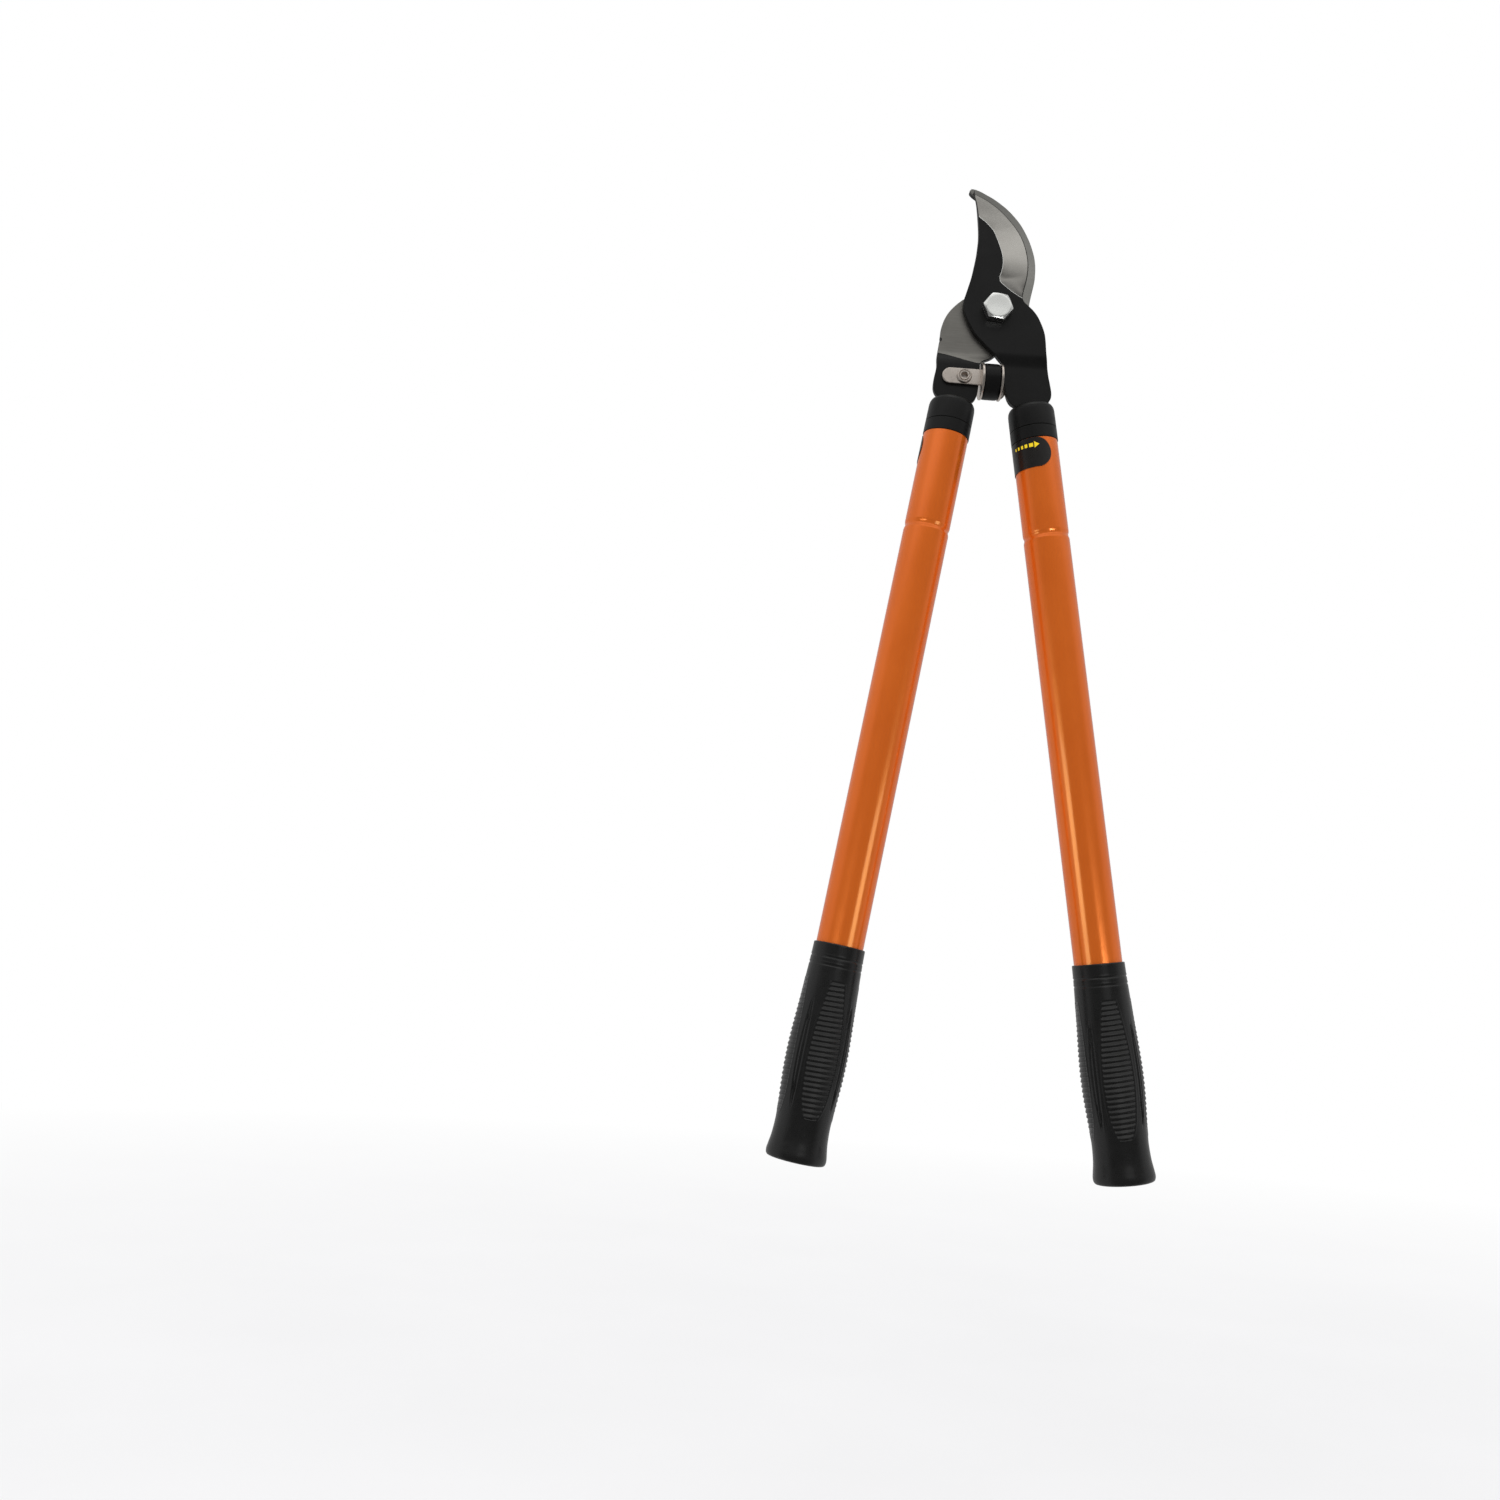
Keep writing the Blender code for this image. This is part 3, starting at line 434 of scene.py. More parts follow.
def fillet(points, radii, parts=4):
    """Rounds the corners of a closed (r, z) outline.  radii is one radius or
    one for each corner; 0 keeps a corner."""
    out, count = [], len(points)
    for i, point in enumerate(points):
        radius = radii[i] if isinstance(radii, list) else radii
        corner = Vector(point)
        if radius <= 0 or corner.x < 1e-6:
            out.append(corner)
            continue
        before, after = Vector(points[i - 1]), Vector(points[(i + 1) % count])
        len_before, len_after = (before - corner).length, (after - corner).length
        if len_before < 1e-6 or len_after < 1e-6:
            out.append(corner)
            continue
        to_before = (before - corner) / len_before
        to_after = (after - corner) / len_after
        half = math.acos(max(-1.0, min(1.0, to_before.dot(to_after)))) / 2
        if half > math.radians(86):     # almost straight
            out.append(corner)
            continue
        trim = min(radius / math.tan(half), 0.45 * len_before, 0.45 * len_after)
        start, end = corner + to_before * trim, corner + to_after * trim
        for k in range(parts + 1):
            t = k / parts
            out.append(start * (1 - t)**2 + corner * 2 * t * (1 - t) + end * t**2)
    return out


def lathe(solid, profile, segments, place=None, reshape=None):
    """Spins a closed (r, z) outline about Z; reshape(angle, r, z) may set r."""
    rings = []
    for r, z in profile:
        if r < 1e-6:
            rings.append([solid.verts.new((0, 0, z))])
            continue
        ring = []
        for i in range(segments):
            angle = 2 * math.pi * i / segments
            radius = reshape(angle, r, z) if reshape else r
            ring.append(solid.verts.new((radius * math.cos(angle),
                                         radius * math.sin(angle), z)))
        rings.append(ring)
    for k in range(len(rings)):
        a, b = rings[k], rings[(k + 1) % len(rings)]
        if len(a) == 1 and len(b) == 1:
            continue
        for i in range(segments):
            j = (i + 1) % segments
            if len(a) == 1:
                solid.faces.new((a[0], b[j], b[i]))
            elif len(b) == 1:
                solid.faces.new((a[i], a[j], b[0]))
            else:
                solid.faces.new((a[i], a[j], b[j], b[i]))
    if place is not None:
        verts = [vert for ring in rings for vert in ring]
        bmesh.ops.transform(solid, matrix=place, verts=verts)


def lathed(profile, segments, place=None, reshape=None):
    solid = bmesh.new()
    lathe(solid, profile, segments, place, reshape)
    return solid


def handle_point(side, along, across):
    """(x, z) of a point down a handle's axis and across it towards +X.  side is
    1 for the right handle and -1 for the left."""
    lean = math.radians(HANDLE_LEAN)
    return (side * (HANDLE_FOOT + along * math.sin(lean)) + across * math.cos(lean),
            -along * math.cos(lean) + side * across * math.sin(lean))


def crossing(point, loop):
    """Whether a point lies inside a loop."""
    inside = False
    for i in range(len(loop)):
        a, b = loop[i], loop[i - 1]
        if (a[1] > point[1]) != (b[1] > point[1]):
            if point[0] < a[0] + (point[1] - a[1]) * (b[0] - a[0]) / (b[1] - a[1]):
                inside = not inside
    return inside


def distance(point, line):
    """Distance from a point to a polyline kept as a numpy array of points."""
    start, end = line[:-1], line[1:]
    run = end - start
    offset = np.array((point[0], point[1])) - start
    t = np.clip((offset * run).sum(1) / np.maximum((run * run).sum(1), 1e-12), 0, 1)
    return float(np.sqrt((((run * t[:, None]) - offset)**2).sum(1).min()))


def as_array(line):
    return np.array([(p[0], p[1]) for p in line], float)


def circle(x, z, radius, count=64):
    return [Vector((x + radius * math.cos(2 * math.pi * i / count),
                    z + radius * math.sin(2 * math.pi * i / count)))
            for i in range(count)]


def tidy(loop, least=0.12):
    """Drops points closer than least to the one before."""
    out = []
    for point in loop:
        if not out or (point - out[-1]).length > least:
            out.append(point)
    while len(out) > 2 and (out[0] - out[-1]).length <= least:
        out.pop()
    return out


def slab(outline, holes, front, back, rounding, lines=(), dots=(), back_dots=(),
         face_zone=None, rim_zone=None):
    """A plate with rounded edges.  outline and holes are (x, z) loops; front and
    back give y from the middle plane.  lines and dots are extra detail on the
    front face, and back_dots on the back one, which needs them wherever it
    bends.  The zone functions choose the material."""
    solid = bmesh.new()
    outline = tidy(outline)
    count = len(outline)
    area = sum(outline[i].x * outline[(i + 1) % count].y
               - outline[(i + 1) % count].x * outline[i].y for i in range(count))
    if area < 0:
        outline.reverse()
    normals = []
    for i in range(count):
        tangent = outline[(i + 1) % count] - outline[i - 1]
        tangent.normalize()
        normals.append(Vector((tangent.y, -tangent.x)))
    radii = [min(rounding, 0.36 * (back(*p) - front(*p))) for p in outline]

    def ring(inset, depth, on_front):
        verts = []
        for p, normal, radius in zip(outline, normals, radii):
            inner = p - normal * (radius * inset)
            at = inner if inset > 0.9 else p
            if on_front:
                y = front(*at) + radius * depth
            else:
                y = back(*at) - radius * depth
            verts.append(solid.verts.new((inner.x, y + MID_Y, inner.y)))
        return verts

    # (inset, depth) round a quarter circle, in radii
    steps = [(1.0, 0.0), (0.5, 0.134), (0.134, 0.5), (0.0, 1.0)]
    rings = [ring(inset, depth, True) for inset, depth in steps]
    rings += [ring(inset, depth, False) for inset, depth in reversed(steps)]
    for k in range(len(rings) - 1):
        for i in range(count):
            j = (i + 1) % count
            face = solid.faces.new((rings[k][i], rings[k][j],
                                    rings[k + 1][j], rings[k + 1][i]))
            if rim_zone is not None and k < 3:
                face.material_index = rim_zone(outline[i].x, outline[i].y)
    border = [p - normal * radius for p, normal, radius in zip(outline, normals, radii)]

    def cover(height, lines, dots, zone):
        """Triangulates one face of the plate."""
        points, edges = [], []

        def add(line, closed):
            first, size = len(points), len(line)
            points.extend(Vector((p[0], p[1])) for p in line)
            edges.extend((first + i, first + (i + 1) % size)
                         for i in range(size if closed else size - 1))

        add(border, True)
        for hole in holes:
            add(hole, True)
        for line in lines:
            add(line, False)
        points.extend(Vector((p[0], p[1])) for p in dots)
        flat, _, triangles, *_ = delaunay_2d_cdt(points, edges, [], 0, 1e-5)
        made = {}

        def vert(i):
            if i not in made:
                made[i] = solid.verts.new((flat[i][0], height(*flat[i]) + MID_Y,
                                           flat[i][1]))
            return made[i]

        for triangle in triangles:
            centre = sum((flat[i] for i in triangle), Vector((0, 0))) / len(triangle)
            if (not crossing(centre, border)
                    or any(crossing(centre, hole) for hole in holes)):
                continue
            face = solid.faces.new([vert(i) for i in triangle])
            if zone is not None:
                face.material_index = zone(centre.x, centre.y)

    cover(front, lines, dots, face_zone)
    cover(back, (), back_dots, None)
    for hole in holes:
        near = [solid.verts.new((p.x, front(*p) + MID_Y, p.y)) for p in hole]
        far = [solid.verts.new((p.x, back(*p) + MID_Y, p.y)) for p in hole]
        for i in range(len(hole)):
            j = (i + 1) % len(hole)
            solid.faces.new((near[i], near[j], far[j], far[i]))
    bmesh.ops.remove_doubles(solid, verts=solid.verts, dist=0.003)
    bmesh.ops.dissolve_degenerate(solid, edges=solid.edges, dist=1e-4)
    return solid


# ================================================================ the plates
# Outlines are (x, z) points.  Lobes are (along, across) points of a handle, on
# the curve that joins a plate to its tang.

# The blade's cutting edge, from the tip down.
BLADE_EDGE = [
    (-20.0, 93.0), (-15, 90.9), (-10, 88.4), (-5, 85.2), (0, 81.4), (5, 76.6),
    (10, 71), (13.4, 66.5), (16.8, 61), (19.3, 55.2), (20.9, 50), (22, 45),
    (22.6, 40), (22.6, 35), (22.2, 30), (21.4, 25), (20.1, 19.2), (18.7, 11.2)]
# Its right side below the edge, downwards.
BLADE_RIGHT = [
    (18.7, 10.3), (20, 7.9), (23.3, 5), (26.7, 1.8), (30.2, -2.8), (33.4, -9.4),
    (35.4, -15), (36.4, -21), (36.9, -26.7), (37.4, -31.7), (38.6, -39.2), (39.8, -47)]
BLADE_LOBE_RIGHT = [(56, 15.8), (62, 16.0), (66, 15.3), (69, 13.4), (70.7, 11.3)]
BLADE_LOBE_LEFT = [(70.7, -11.3), (69, -13.8), (66, -15.7), (62, -16.7), (56, -17.2),
                   (50, -17.4)]
# Its left side, upwards to the tip.
BLADE_LEFT = [
    (6.95, -44), (6.5, -41), (4.9, -38.6), (2.3, -36.2), (-1.1, -32.8), (-6.1, -28.1),
    (-10.2, -24), (-15.2, -18.6), (-19.4, -11.4), (-21.9, -6.2), (-23.5, -2),
    (-24.1, 2.2), (-23.8, 6.9), (-22.7, 11), (-20.9, 17.7), (-19, 25.2),
    (-17.5, 33.6), (-16.2, 42), (-15.6, 48.6), (-15.2, 55.2), (-15.4, 61.9),
    (-16.1, 70.3), (-16.9, 77.7), (-17.8, 84), (-18.9, 88.8)]
# The inner limit of the ground bevel, downwards, and its lower end.
BEVEL_LIMIT = [
    (-24.0, 81.0), (-17.1, 74.4), (-15, 71.9), (-10, 68), (-5, 62.6), (-2.5, 58),
    (0, 51.8), (2.1, 45.9), (3.3, 40), (3.3, 35), (2.5, 30), (1.4, 26.4)]
BEVEL_RUNOUT = [(1.4, 26.4), (2.0, 22.6), (5, 19.8), (10, 15.9), (14.6, 13.0),
                (18.7, 10.75)]
BEVEL_DEPTH = 4.0           # from the plate's face back to the cutting edge
# The dark band below is painted shadow where the blade's edge meets the hook.
EDGE_BAND = 0.75            # width of the dark band along the cutting edge

# The hook's right side, from the tip down.
HOOK_RIGHT = [
    (-18.4, 96.6), (-14.3, 95.1), (-9.3, 92.6), (-4.3, 89.9), (0.7, 86.5),
    (5.8, 82.5), (10.8, 77.5), (15, 72.5), (18.3, 67.5), (21, 62.4), (23.3, 57.4),
    (25.1, 52.4), (26.6, 47.4), (27.6, 42.3), (28.0, 37.3), (28.0, 32.3),
    (27.7, 27.3), (26.9, 22.3), (25.6, 15.5), (24.6, 9.5), (24.0, 2.5),
    (22.4, -5.8), (19.6, -11.4), (15.2, -18.6), (10.2, -24), (6.1, -28.1),
    (1.1, -32.8), (-2.3, -35.6), (-5.6, -37.4), (-8.3, -38.9), (-9.75, -41.0),
    (-10.0, -45.5)]
HOOK_LOBE_RIGHT = [(56, 15.3), (62, 15.6), (66, 15.1), (69, 13.4), (70.7, 11.3)]
HOOK_LOBE_LEFT = [(70.7, -11.3), (69, -13.8), (66, -15.8), (62, -16.7), (56, -17.0),
                  (48, -16.9)]
# Its left side, upwards: below the notch, the notch, and on to the tip.
HOOK_LOW_LEFT = [(-41.2, -39.2), (-40.3, -31.0), (-39.7, -26.2)]
NOTCH = [(-39.6, -24.9), (-39.3, -24.4), (-39.15, -23.4), (-39.25, -22.4),
         (-39.4, -21.8)]
HOOK_LEFT = [
    (-39.2, -20.4), (-38.6, -13.9), (-37.0, -8.1), (-33.7, -1.6), (-28.6, 4.6),
    (-22.9, 9.6), (-16, 14.4), (-8, 18.4), (0.0, 21.3), (5.5, 25), (9.3, 30),
    (12, 37), (13.1, 45), (12.5, 53.5), (10.5, 61.5), (7, 69), (2, 75.8),
    (-4, 81.5), (-11, 86.2), (-17.3, 89.6), (-21.2, 92.5), (-22.7, 94.8),
    (-21.3, 96.9)]
# The lower limit of the hook's bare steel, left to right.
BARE_LIMIT = [
    (-46, -33.0), (-41, -33.7), (-34.5, -34.8), (-28, -36.4), (-21.5, -38.3),
    (-15.5, -39.8), (-11.8, -40.5), (-9.0, -40.2), (-5.0, -38.0)]
# The coated arc at the notch.
PIT_X, PIT_Z = -39.5, -23.4
PIT_R = 1.55


def joggle(z):
    """How far a plate is set over at z, with its two bends rounded."""
    total = 0.0
    for k in range(9):
        at = z + (k - 4) * 0.45
        total += min(1.0, max(0.0, (BEND_TOP - at) / (BEND_TOP - BEND_END)))
    return SET_OVER * total / 9


def on_handle(side, points):
    return [handle_point(side, along, across) for along, across in points]


def tang(side):
    """The end of a plate inside the handle, from its right side to its left."""
    return [Vector(p) for p in on_handle(side, (
        (71.2, 10), (126, 10), (128, 8), (128, -8), (126, -10), (71.2, -10)))]


def tang_hole(side):
    return circle(*handle_point(side, TANG_RIVET_AT, 0), TANG_HOLE_R, 32)


def bumper_rivet_hole():
    return circle(BUMPER_RIVET_X, STRAP_Z, BUMPER_RIVET_HOLE_R, 40)


def offset_line(line, offset):
    """The line moved to its right, seen along it."""
    out = []
    for i, p in enumerate(line):
        tangent = line[min(i + 1, len(line) - 1)] - line[max(i - 1, 0)]
        tangent.normalize()
        out.append(p + Vector((tangent.y, -tangent.x)) * offset)
    return out


def dot_grid(x_range, z_range, x_step, z_step, keep):
    """Staggered rows of dots wherever keep(x, z) holds."""
    out, row = [], 0
    z = z_range[0]
    while z < z_range[1]:
        x = x_range[0] + (x_step / 2 if row % 2 else 0)
        while x < x_range[1]:
            if keep(x, z):
                out.append((x, z))
            x += x_step
        z += z_step
        row += 1
    return out


def bend_dots(outline, x_range):
    """Close rows of dots over a plate's bends."""
    border = as_array(outline + outline[:1])
    return dot_grid(x_range, (-43.4, -31.0), x_step=1.6, z_step=0.55,
                    keep=lambda x, z: crossing((x, z), outline)
                    and distance((x, z), border) > 1.1)


def blade_plate():
    edge = curve_through(BLADE_EDGE, STEP)
    right_side = curve_through(BLADE_RIGHT + on_handle(1, BLADE_LOBE_RIGHT), STEP)
    left_side = curve_through(on_handle(1, BLADE_LOBE_LEFT) + BLADE_LEFT, STEP)
    outline = edge + [Vector(BEVEL_RUNOUT[-1])] + right_side + tang(1) + left_side
    limit = curve_through(BEVEL_LIMIT, STEP) + curve_through(BEVEL_RUNOUT, STEP)[1:]
    bevel = edge + list(reversed(limit))
    rim_line = offset_line(limit, 0.28)
    band_line = offset_line(edge, EDGE_BAND)[2:-2]
    edge_array, limit_array = as_array(edge), as_array(limit)
    # The fourth slot is painted shadow along the cutting edge and its rim.
    coated, ground, painted_highlight_rim, edge_shadow = range(4)    # material slots

    def front(x, z):
        y = -PLATE_OUT
        if z > 9.0:
            from_edge = distance((x, z), edge_array)
            if crossing((x, z), bevel) or from_edge < 1e-3:
                from_limit = distance((x, z), limit_array)
                if from_limit > 1e-3:
                    t = from_edge / (from_edge + from_limit)
                    t -= 0.16 * t * (1 - t)             # hollow ground
                    y = (BEVEL_DEPTH - PLATE_OUT - t * BEVEL_DEPTH
                         + 0.30 * max(0.0, 1 - from_edge / EDGE_BAND))
        return y + joggle(z)

    def back(x, z):
        return -PLATE_IN + joggle(z)

    def face_zone(x, z):
        if z < 8.0:
            return coated
        if crossing((x, z), bevel):
            return edge_shadow if distance((x, z), edge_array) < EDGE_BAND else ground
        # A thin band along the bevel's limit takes the bright plated finish: a painted
        # highlight standing in for the lit edge of the small step there.
        return painted_highlight_rim if distance((x, z), limit_array) < 0.30 else coated

    def rim_zone(x, z):
        return edge_shadow if distance((x, z), edge_array) < 0.2 and z > 11.0 else coated

    bend = bend_dots(outline, (0, 40))
    dots = dot_grid((-20, 24), (10, 94), x_step=1.5, z_step=1.3,
                    keep=lambda x, z: crossing((x, z), bevel)
                    and distance((x, z), edge_array) > 1.3
                    and distance((x, z), limit_array) > 0.7)
    solid = slab(outline, [circle(0, 0, PIVOT_HOLE_R), tang_hole(1)], front, back,
                 rounding=0.42, lines=[limit, rim_line, band_line],
                 dots=dots + bend, back_dots=bend,
                 face_zone=face_zone, rim_zone=rim_zone)
    publish("blade_plate", solid, "blade_arm", COAT, GROUND_STEEL, ZINC, PAINTED_EDGE_SHADOW,
            sharp=24)


def hook_plate():
    outline = (curve_through(HOOK_RIGHT + on_handle(-1, HOOK_LOBE_RIGHT), STEP)
               + tang(-1)
               + curve_through(on_handle(-1, HOOK_LOBE_LEFT) + HOOK_LOW_LEFT, STEP)
               + curve_through(NOTCH, 0.4)
               + curve_through(HOOK_LEFT, STEP))
    limit = curve_through(BARE_LIMIT, STEP)
    bare = limit + [Vector((60, -38.0)), Vector((60, 120)), Vector((-60, 120)),
                    Vector((-60, -33.0))]
    pit = [Vector((PIT_X + PIT_R * math.cos(math.radians(t)),
                   PIT_Z + 1.6 * math.sin(math.radians(t))))
           for t in range(-70, 71, 10)]
    coated, flat, jaw = range(3)    # material slots

    def face_zone(x, z):
        if z > (6.0 if x > 0 else 14.0):
            return jaw
        if math.hypot(x - PIT_X, z - PIT_Z) < PIT_R:
            return coated
        return flat if crossing((x, z), bare) else coated

    def rim_zone(x, z):
        at_notch = x < -37 and -25.2 < z < -21.6
        return face_zone(x, z) if (z > -30 or x < -30) and not at_notch else coated

    bend = bend_dots(outline, (-44, 0))
    solid = slab(outline, [circle(0, 0, PIVOT_HOLE_R), tang_hole(-1),
                           bumper_rivet_hole()],
                 front=lambda x, z: PLATE_IN - joggle(z),
                 back=lambda x, z: PLATE_OUT - joggle(z),
                 rounding=0.5, lines=[limit, pit], dots=bend, back_dots=bend,
                 face_zone=face_zone, rim_zone=rim_zone)
    publish("hook_plate", solid, "hook_arm", COAT, FLAT_STEEL, HOOK_STEEL, sharp=32)


# ============================================================ pivot hardware
# Profiles are (r, y from the middle plane).
SEAT = 4.95                 # the bolt's head and the washer bear this far out
HEX_ACROSS = 19.0           # across the flats of the head and of the nut
HEX_REACH = 11.2            # beyond the hexagon's corners, which cut it back
HEAD_HEIGHT = 7.5
SHANK_R = 6.0
THREAD_PITCH = 1.1


def hexed(turn, low, high):
    """A lathe reshaping that cuts a hexagon between two heights.  turn is in
    degrees."""
    def reshape(angle, r, z):
        if not low - 1e-6 <= z <= high + 1e-6:
            return r
        a = (angle - math.radians(turn)) % (math.pi / 3) - math.pi / 6
        # corners are eased a little
        return min(r, HEX_ACROSS / 2 / math.cos(a), HEX_ACROSS / 2 * 1.146)
    return reshape


def chamfer_rows(inner, z, slope, parts, sign):
    """Rows of a cone from (inner, z) out to HEX_REACH, for a hexagon's chamfer."""
    run = HEX_REACH - inner
    return [(inner + run * i / parts, z + sign * slope * run * i / parts)
            for i in range(parts + 1)]


def pivot_bolt():
    top = -SEAT - HEAD_HEIGHT
    rows = [(0.0, top + 0.10), (4.5, top + 0.06), (7.6, top), (8.5, top),
            (8.8, top + 0.03), (9.0, top + 0.11)]
    rows += chamfer_rows(9.12, top + 0.18, slope=0.62, parts=12, sign=1)
    rows += [(HEX_REACH, -SEAT - 0.35), (10.9, -SEAT), (8.0, -SEAT), (SHANK_R, -SEAT),
             (SHANK_R, -SEAT + 0.2), (SHANK_R, 17.6)]
    for turn in range(3):
        y = 18.0 + THREAD_PITCH * turn
        rows += [(SHANK_R, y), (5.62, y + 0.40), (5.62, y + 0.55), (SHANK_R, y + 0.95)]
    rows += [(5.6, 21.35), (4.9, 21.75), (0.0, 21.75)]
    solid = lathed(rows, 144, PIVOT_AXIS, hexed(7, low=top, high=-SEAT + 0.01))
    publish("pivot_bolt", solid, "blade_arm", ZINC, sharp=24)


def pivot_washer():
    end = SEAT + 2.5
    rows = [(12.0, SEAT), (12.0, end), (6.5, end), (6.5, SEAT)]
    publish("pivot_washer", lathed(fillet(rows, 0.35), 96, PIVOT_AXIS),
            "blade_arm", ZINC)


def lock_nut():
    rows = [(6.3, 7.75), (9.1, 7.75)]
    rows += chamfer_rows(9.3, 7.8, slope=0.5, parts=6, sign=1)
    rows.append((HEX_REACH, 15.9))
    rows += reversed(chamfer_rows(9.55, 17.14, slope=0.62, parts=6, sign=-1))
    rows += [(9.3, 17.2), (9.3, 18.6), (9.15, 19.1), (8.8, 19.5), (8.3, 19.7),
             (7.7, 19.75), (7.4, 19.5), (7.4, 19.15), (8.3, 18.85), (8.3, 16.15),
             (6.3, 16.15)]
    solid = lathed(rows, 144, PIVOT_AXIS, hexed(19, low=7.6, high=17.15))
    publish("lock_nut", solid, "blade_arm", ZINC, sharp=24)


def nut_insert():
    rows = [(8.0, 16.45), (8.0, 18.55), (6.3, 18.55), (6.3, 16.45)]
    publish("nut_insert", lathed(fillet(rows, 0.3), 72, PIVOT_AXIS),
            "blade_arm", WHITE_NYLON)


# ================================================================ the bumper
def strap_outline(x_round, x_flange, flare=False):
    """A strap with a round left end; its right end meets a flange, and may
    flare downwards there."""
    points = []
    for i in range(33):
        angle = math.pi / 2 + math.pi * i / 32
        points.append(Vector((x_round + STRAP_HALF + STRAP_HALF * math.cos(angle),
                              STRAP_Z + STRAP_HALF * math.sin(angle))))
    if flare:
        # (x from the flange, z from the strap's middle)
        curve = [(-13, -6), (-9, -6.15), (-6, -7.5), (-4, -10.4), (-2.2, -12.1),
                 (0, -12.6)]
        points += curve_through([(x_flange + x, STRAP_Z + z) for x, z in curve], 0.6)
    else:
        points.append(Vector((x_flange, STRAP_Z - STRAP_HALF)))
    points.append(Vector((x_flange, STRAP_Z + STRAP_HALF)))
    return points


def flange(solid, left, right):
    """A round plate between two x values, facing the bumper."""
    radius = 13.2
    rows = [(0, left), (radius, left), (radius, right), (0, right)]
    lathe(solid, fillet(rows, 0.55), 96, BUMPER_AXIS)


def bumper_bracket():
    solid = slab(strap_outline(x_round=-37.1, x_flange=-7.9), [bumper_rivet_hole()],
                 front=lambda x, z: -STRAP_OUT, back=lambda x, z: -STRAP_IN,
                 rounding=0.55)
    flange(solid, -9.3, -7.5)
    publish("bumper_bracket", solid, "hook_arm", NICKEL)


def stop_bracket():
    outline = strap_outline(x_round=-33.0, x_flange=-4.8, flare=True)
    mirrored = [Vector((-p.x, p.y)) for p in reversed(outline)]
    solid = slab(mirrored, [], front=lambda x, z: STRAP_IN,
                 back=lambda x, z: STRAP_OUT, rounding=0.55)
    flange(solid, 4.4, 6.0)
    publish("stop_bracket", solid, "blade_arm", NICKEL)


def bumper_rubber():
    rows = [(0, -7.2), (11.6, -7.2), (12.3, -7.05), (12.65, -6.6), (12.75, -6.0),
            (12.8, -4.4), (12.8, -2.3), (12.72, -2.15), (12.72, -1.95), (12.8, -1.8),
            (12.8, 1.6), (12.7, 3.0), (12.45, 3.65), (11.9, 4.0), (11.2, 4.1),
            (0, 4.1)]   # (r, x)
    publish("bumper_rubber", lathed(rows, 96, BUMPER_AXIS), "hook_arm", RUBBER)


def bumper_rivet():
    seat = -4.85        # back of the front head
    # front head: (r, y from its seat)
    head = [(0, 2.4), (1.9, 2.1), (2.15, 0.6), (2.3, -0.7), (2.55, -1.25),
            (2.9, -1.4), (3.3, -1.3), (3.5, -0.85), (3.65, -0.45), (3.95, -0.45),
            (4.1, -1.05), (4.45, -1.25), (4.8, -1.15), (5.1, -0.85),
            (5.35, -0.45), (5.4, -0.1), (5.3, 0), (3.2, 0)]
    rows = [(r, seat + y) for r, y in head]
    rows += [(3.2, 2.55), (5.0, 2.55), (4.9, 3.2), (4.3, 3.7), (2.6, 3.85), (0, 3.85)]

    def six_lobed(angle, r, y):
        """The socket in the front head is a little six-lobed."""
        if r < 2.4 and seat - 0.9 < y < seat + 2.2:
            return r * (1 + 0.12 * math.cos(6 * angle))
        return r

    place = Matrix.Translation((BUMPER_RIVET_X, MID_Y, STRAP_Z)) @ ALONG_Y
    publish("bumper_rivet", lathed(rows, 96, place, six_lobed), "hook_arm", NICKEL,
            sharp=50)


# =============================================================== the handles
# Handle pieces have their own frame: Z runs up the handle's axis from the foot,
# and X points right.  Profiles are (radius, distance down the axis).
def axis_matrix(side):
    return (Matrix.Translation((side * HANDLE_FOOT * MM, MID_Y * MM, 0))
            @ Matrix.Rotation(-side * math.radians(HANDLE_LEAN), 4, "Y"))


def turned(piece, points, radii, material, body, matrix):
    solid = lathed(fillet(down(points), radii), 112)
    return publish(piece, solid, body, material, matrix=matrix)


def down(points):
    return [(r, -along) for r, along in points]


def cut(obj, solid):
    """Takes a solid, in the same frame, out of a piece's mesh for good."""
    bmesh.ops.recalc_face_normals(solid, faces=solid.faces)
    cutter = bpy.data.objects.new("cutter", solid_to_mesh("cutter", solid))
    scene.collection.objects.link(cutter)
    cutter.matrix_world = obj_frame(obj)
    obj.modifiers.clear()
    boolean = obj.modifiers.new("cut", "BOOLEAN")
    boolean.operation = "DIFFERENCE"
    boolean.solver = "EXACT"
    boolean.object = cutter
    bpy.context.view_layer.update()
    graph = bpy.context.evaluated_depsgraph_get()
    mesh = bpy.data.meshes.new_from_object(obj.evaluated_get(graph))
    obj.modifiers.clear()
    obj.data = mesh
    bpy.data.objects.remove(cutter, do_unlink=True)
    result = bmesh.new()
    result.from_mesh(mesh)
    mark_sharp(result, 35)
    result.to_mesh(mesh)
    result.free()
    weigh_normals(obj)


def obj_frame(obj):
    """The handle's frame that a piece was made in, told by its name."""
    return axis_matrix(-1 if obj.name.startswith("left_") else 1)


def across_handle(along):
    """A place on the handle's axis, turned front to back."""
    return Matrix.Translation((0, 0, -along)) @ ALONG_Y


def tang_slot():
    """The box that the tang takes out of its collar."""
    half_width, half_depth, low, high = 10.35, 2.6, -130, -60
    solid = bmesh.new()
    bmesh.ops.create_cube(solid, size=1.0)
    for vert in solid.verts:
        vert.co = (math.copysign(half_width, vert.co.x),
                   math.copysign(half_depth, vert.co.y),
                   low if vert.co.z < 0 else high)
    return solid


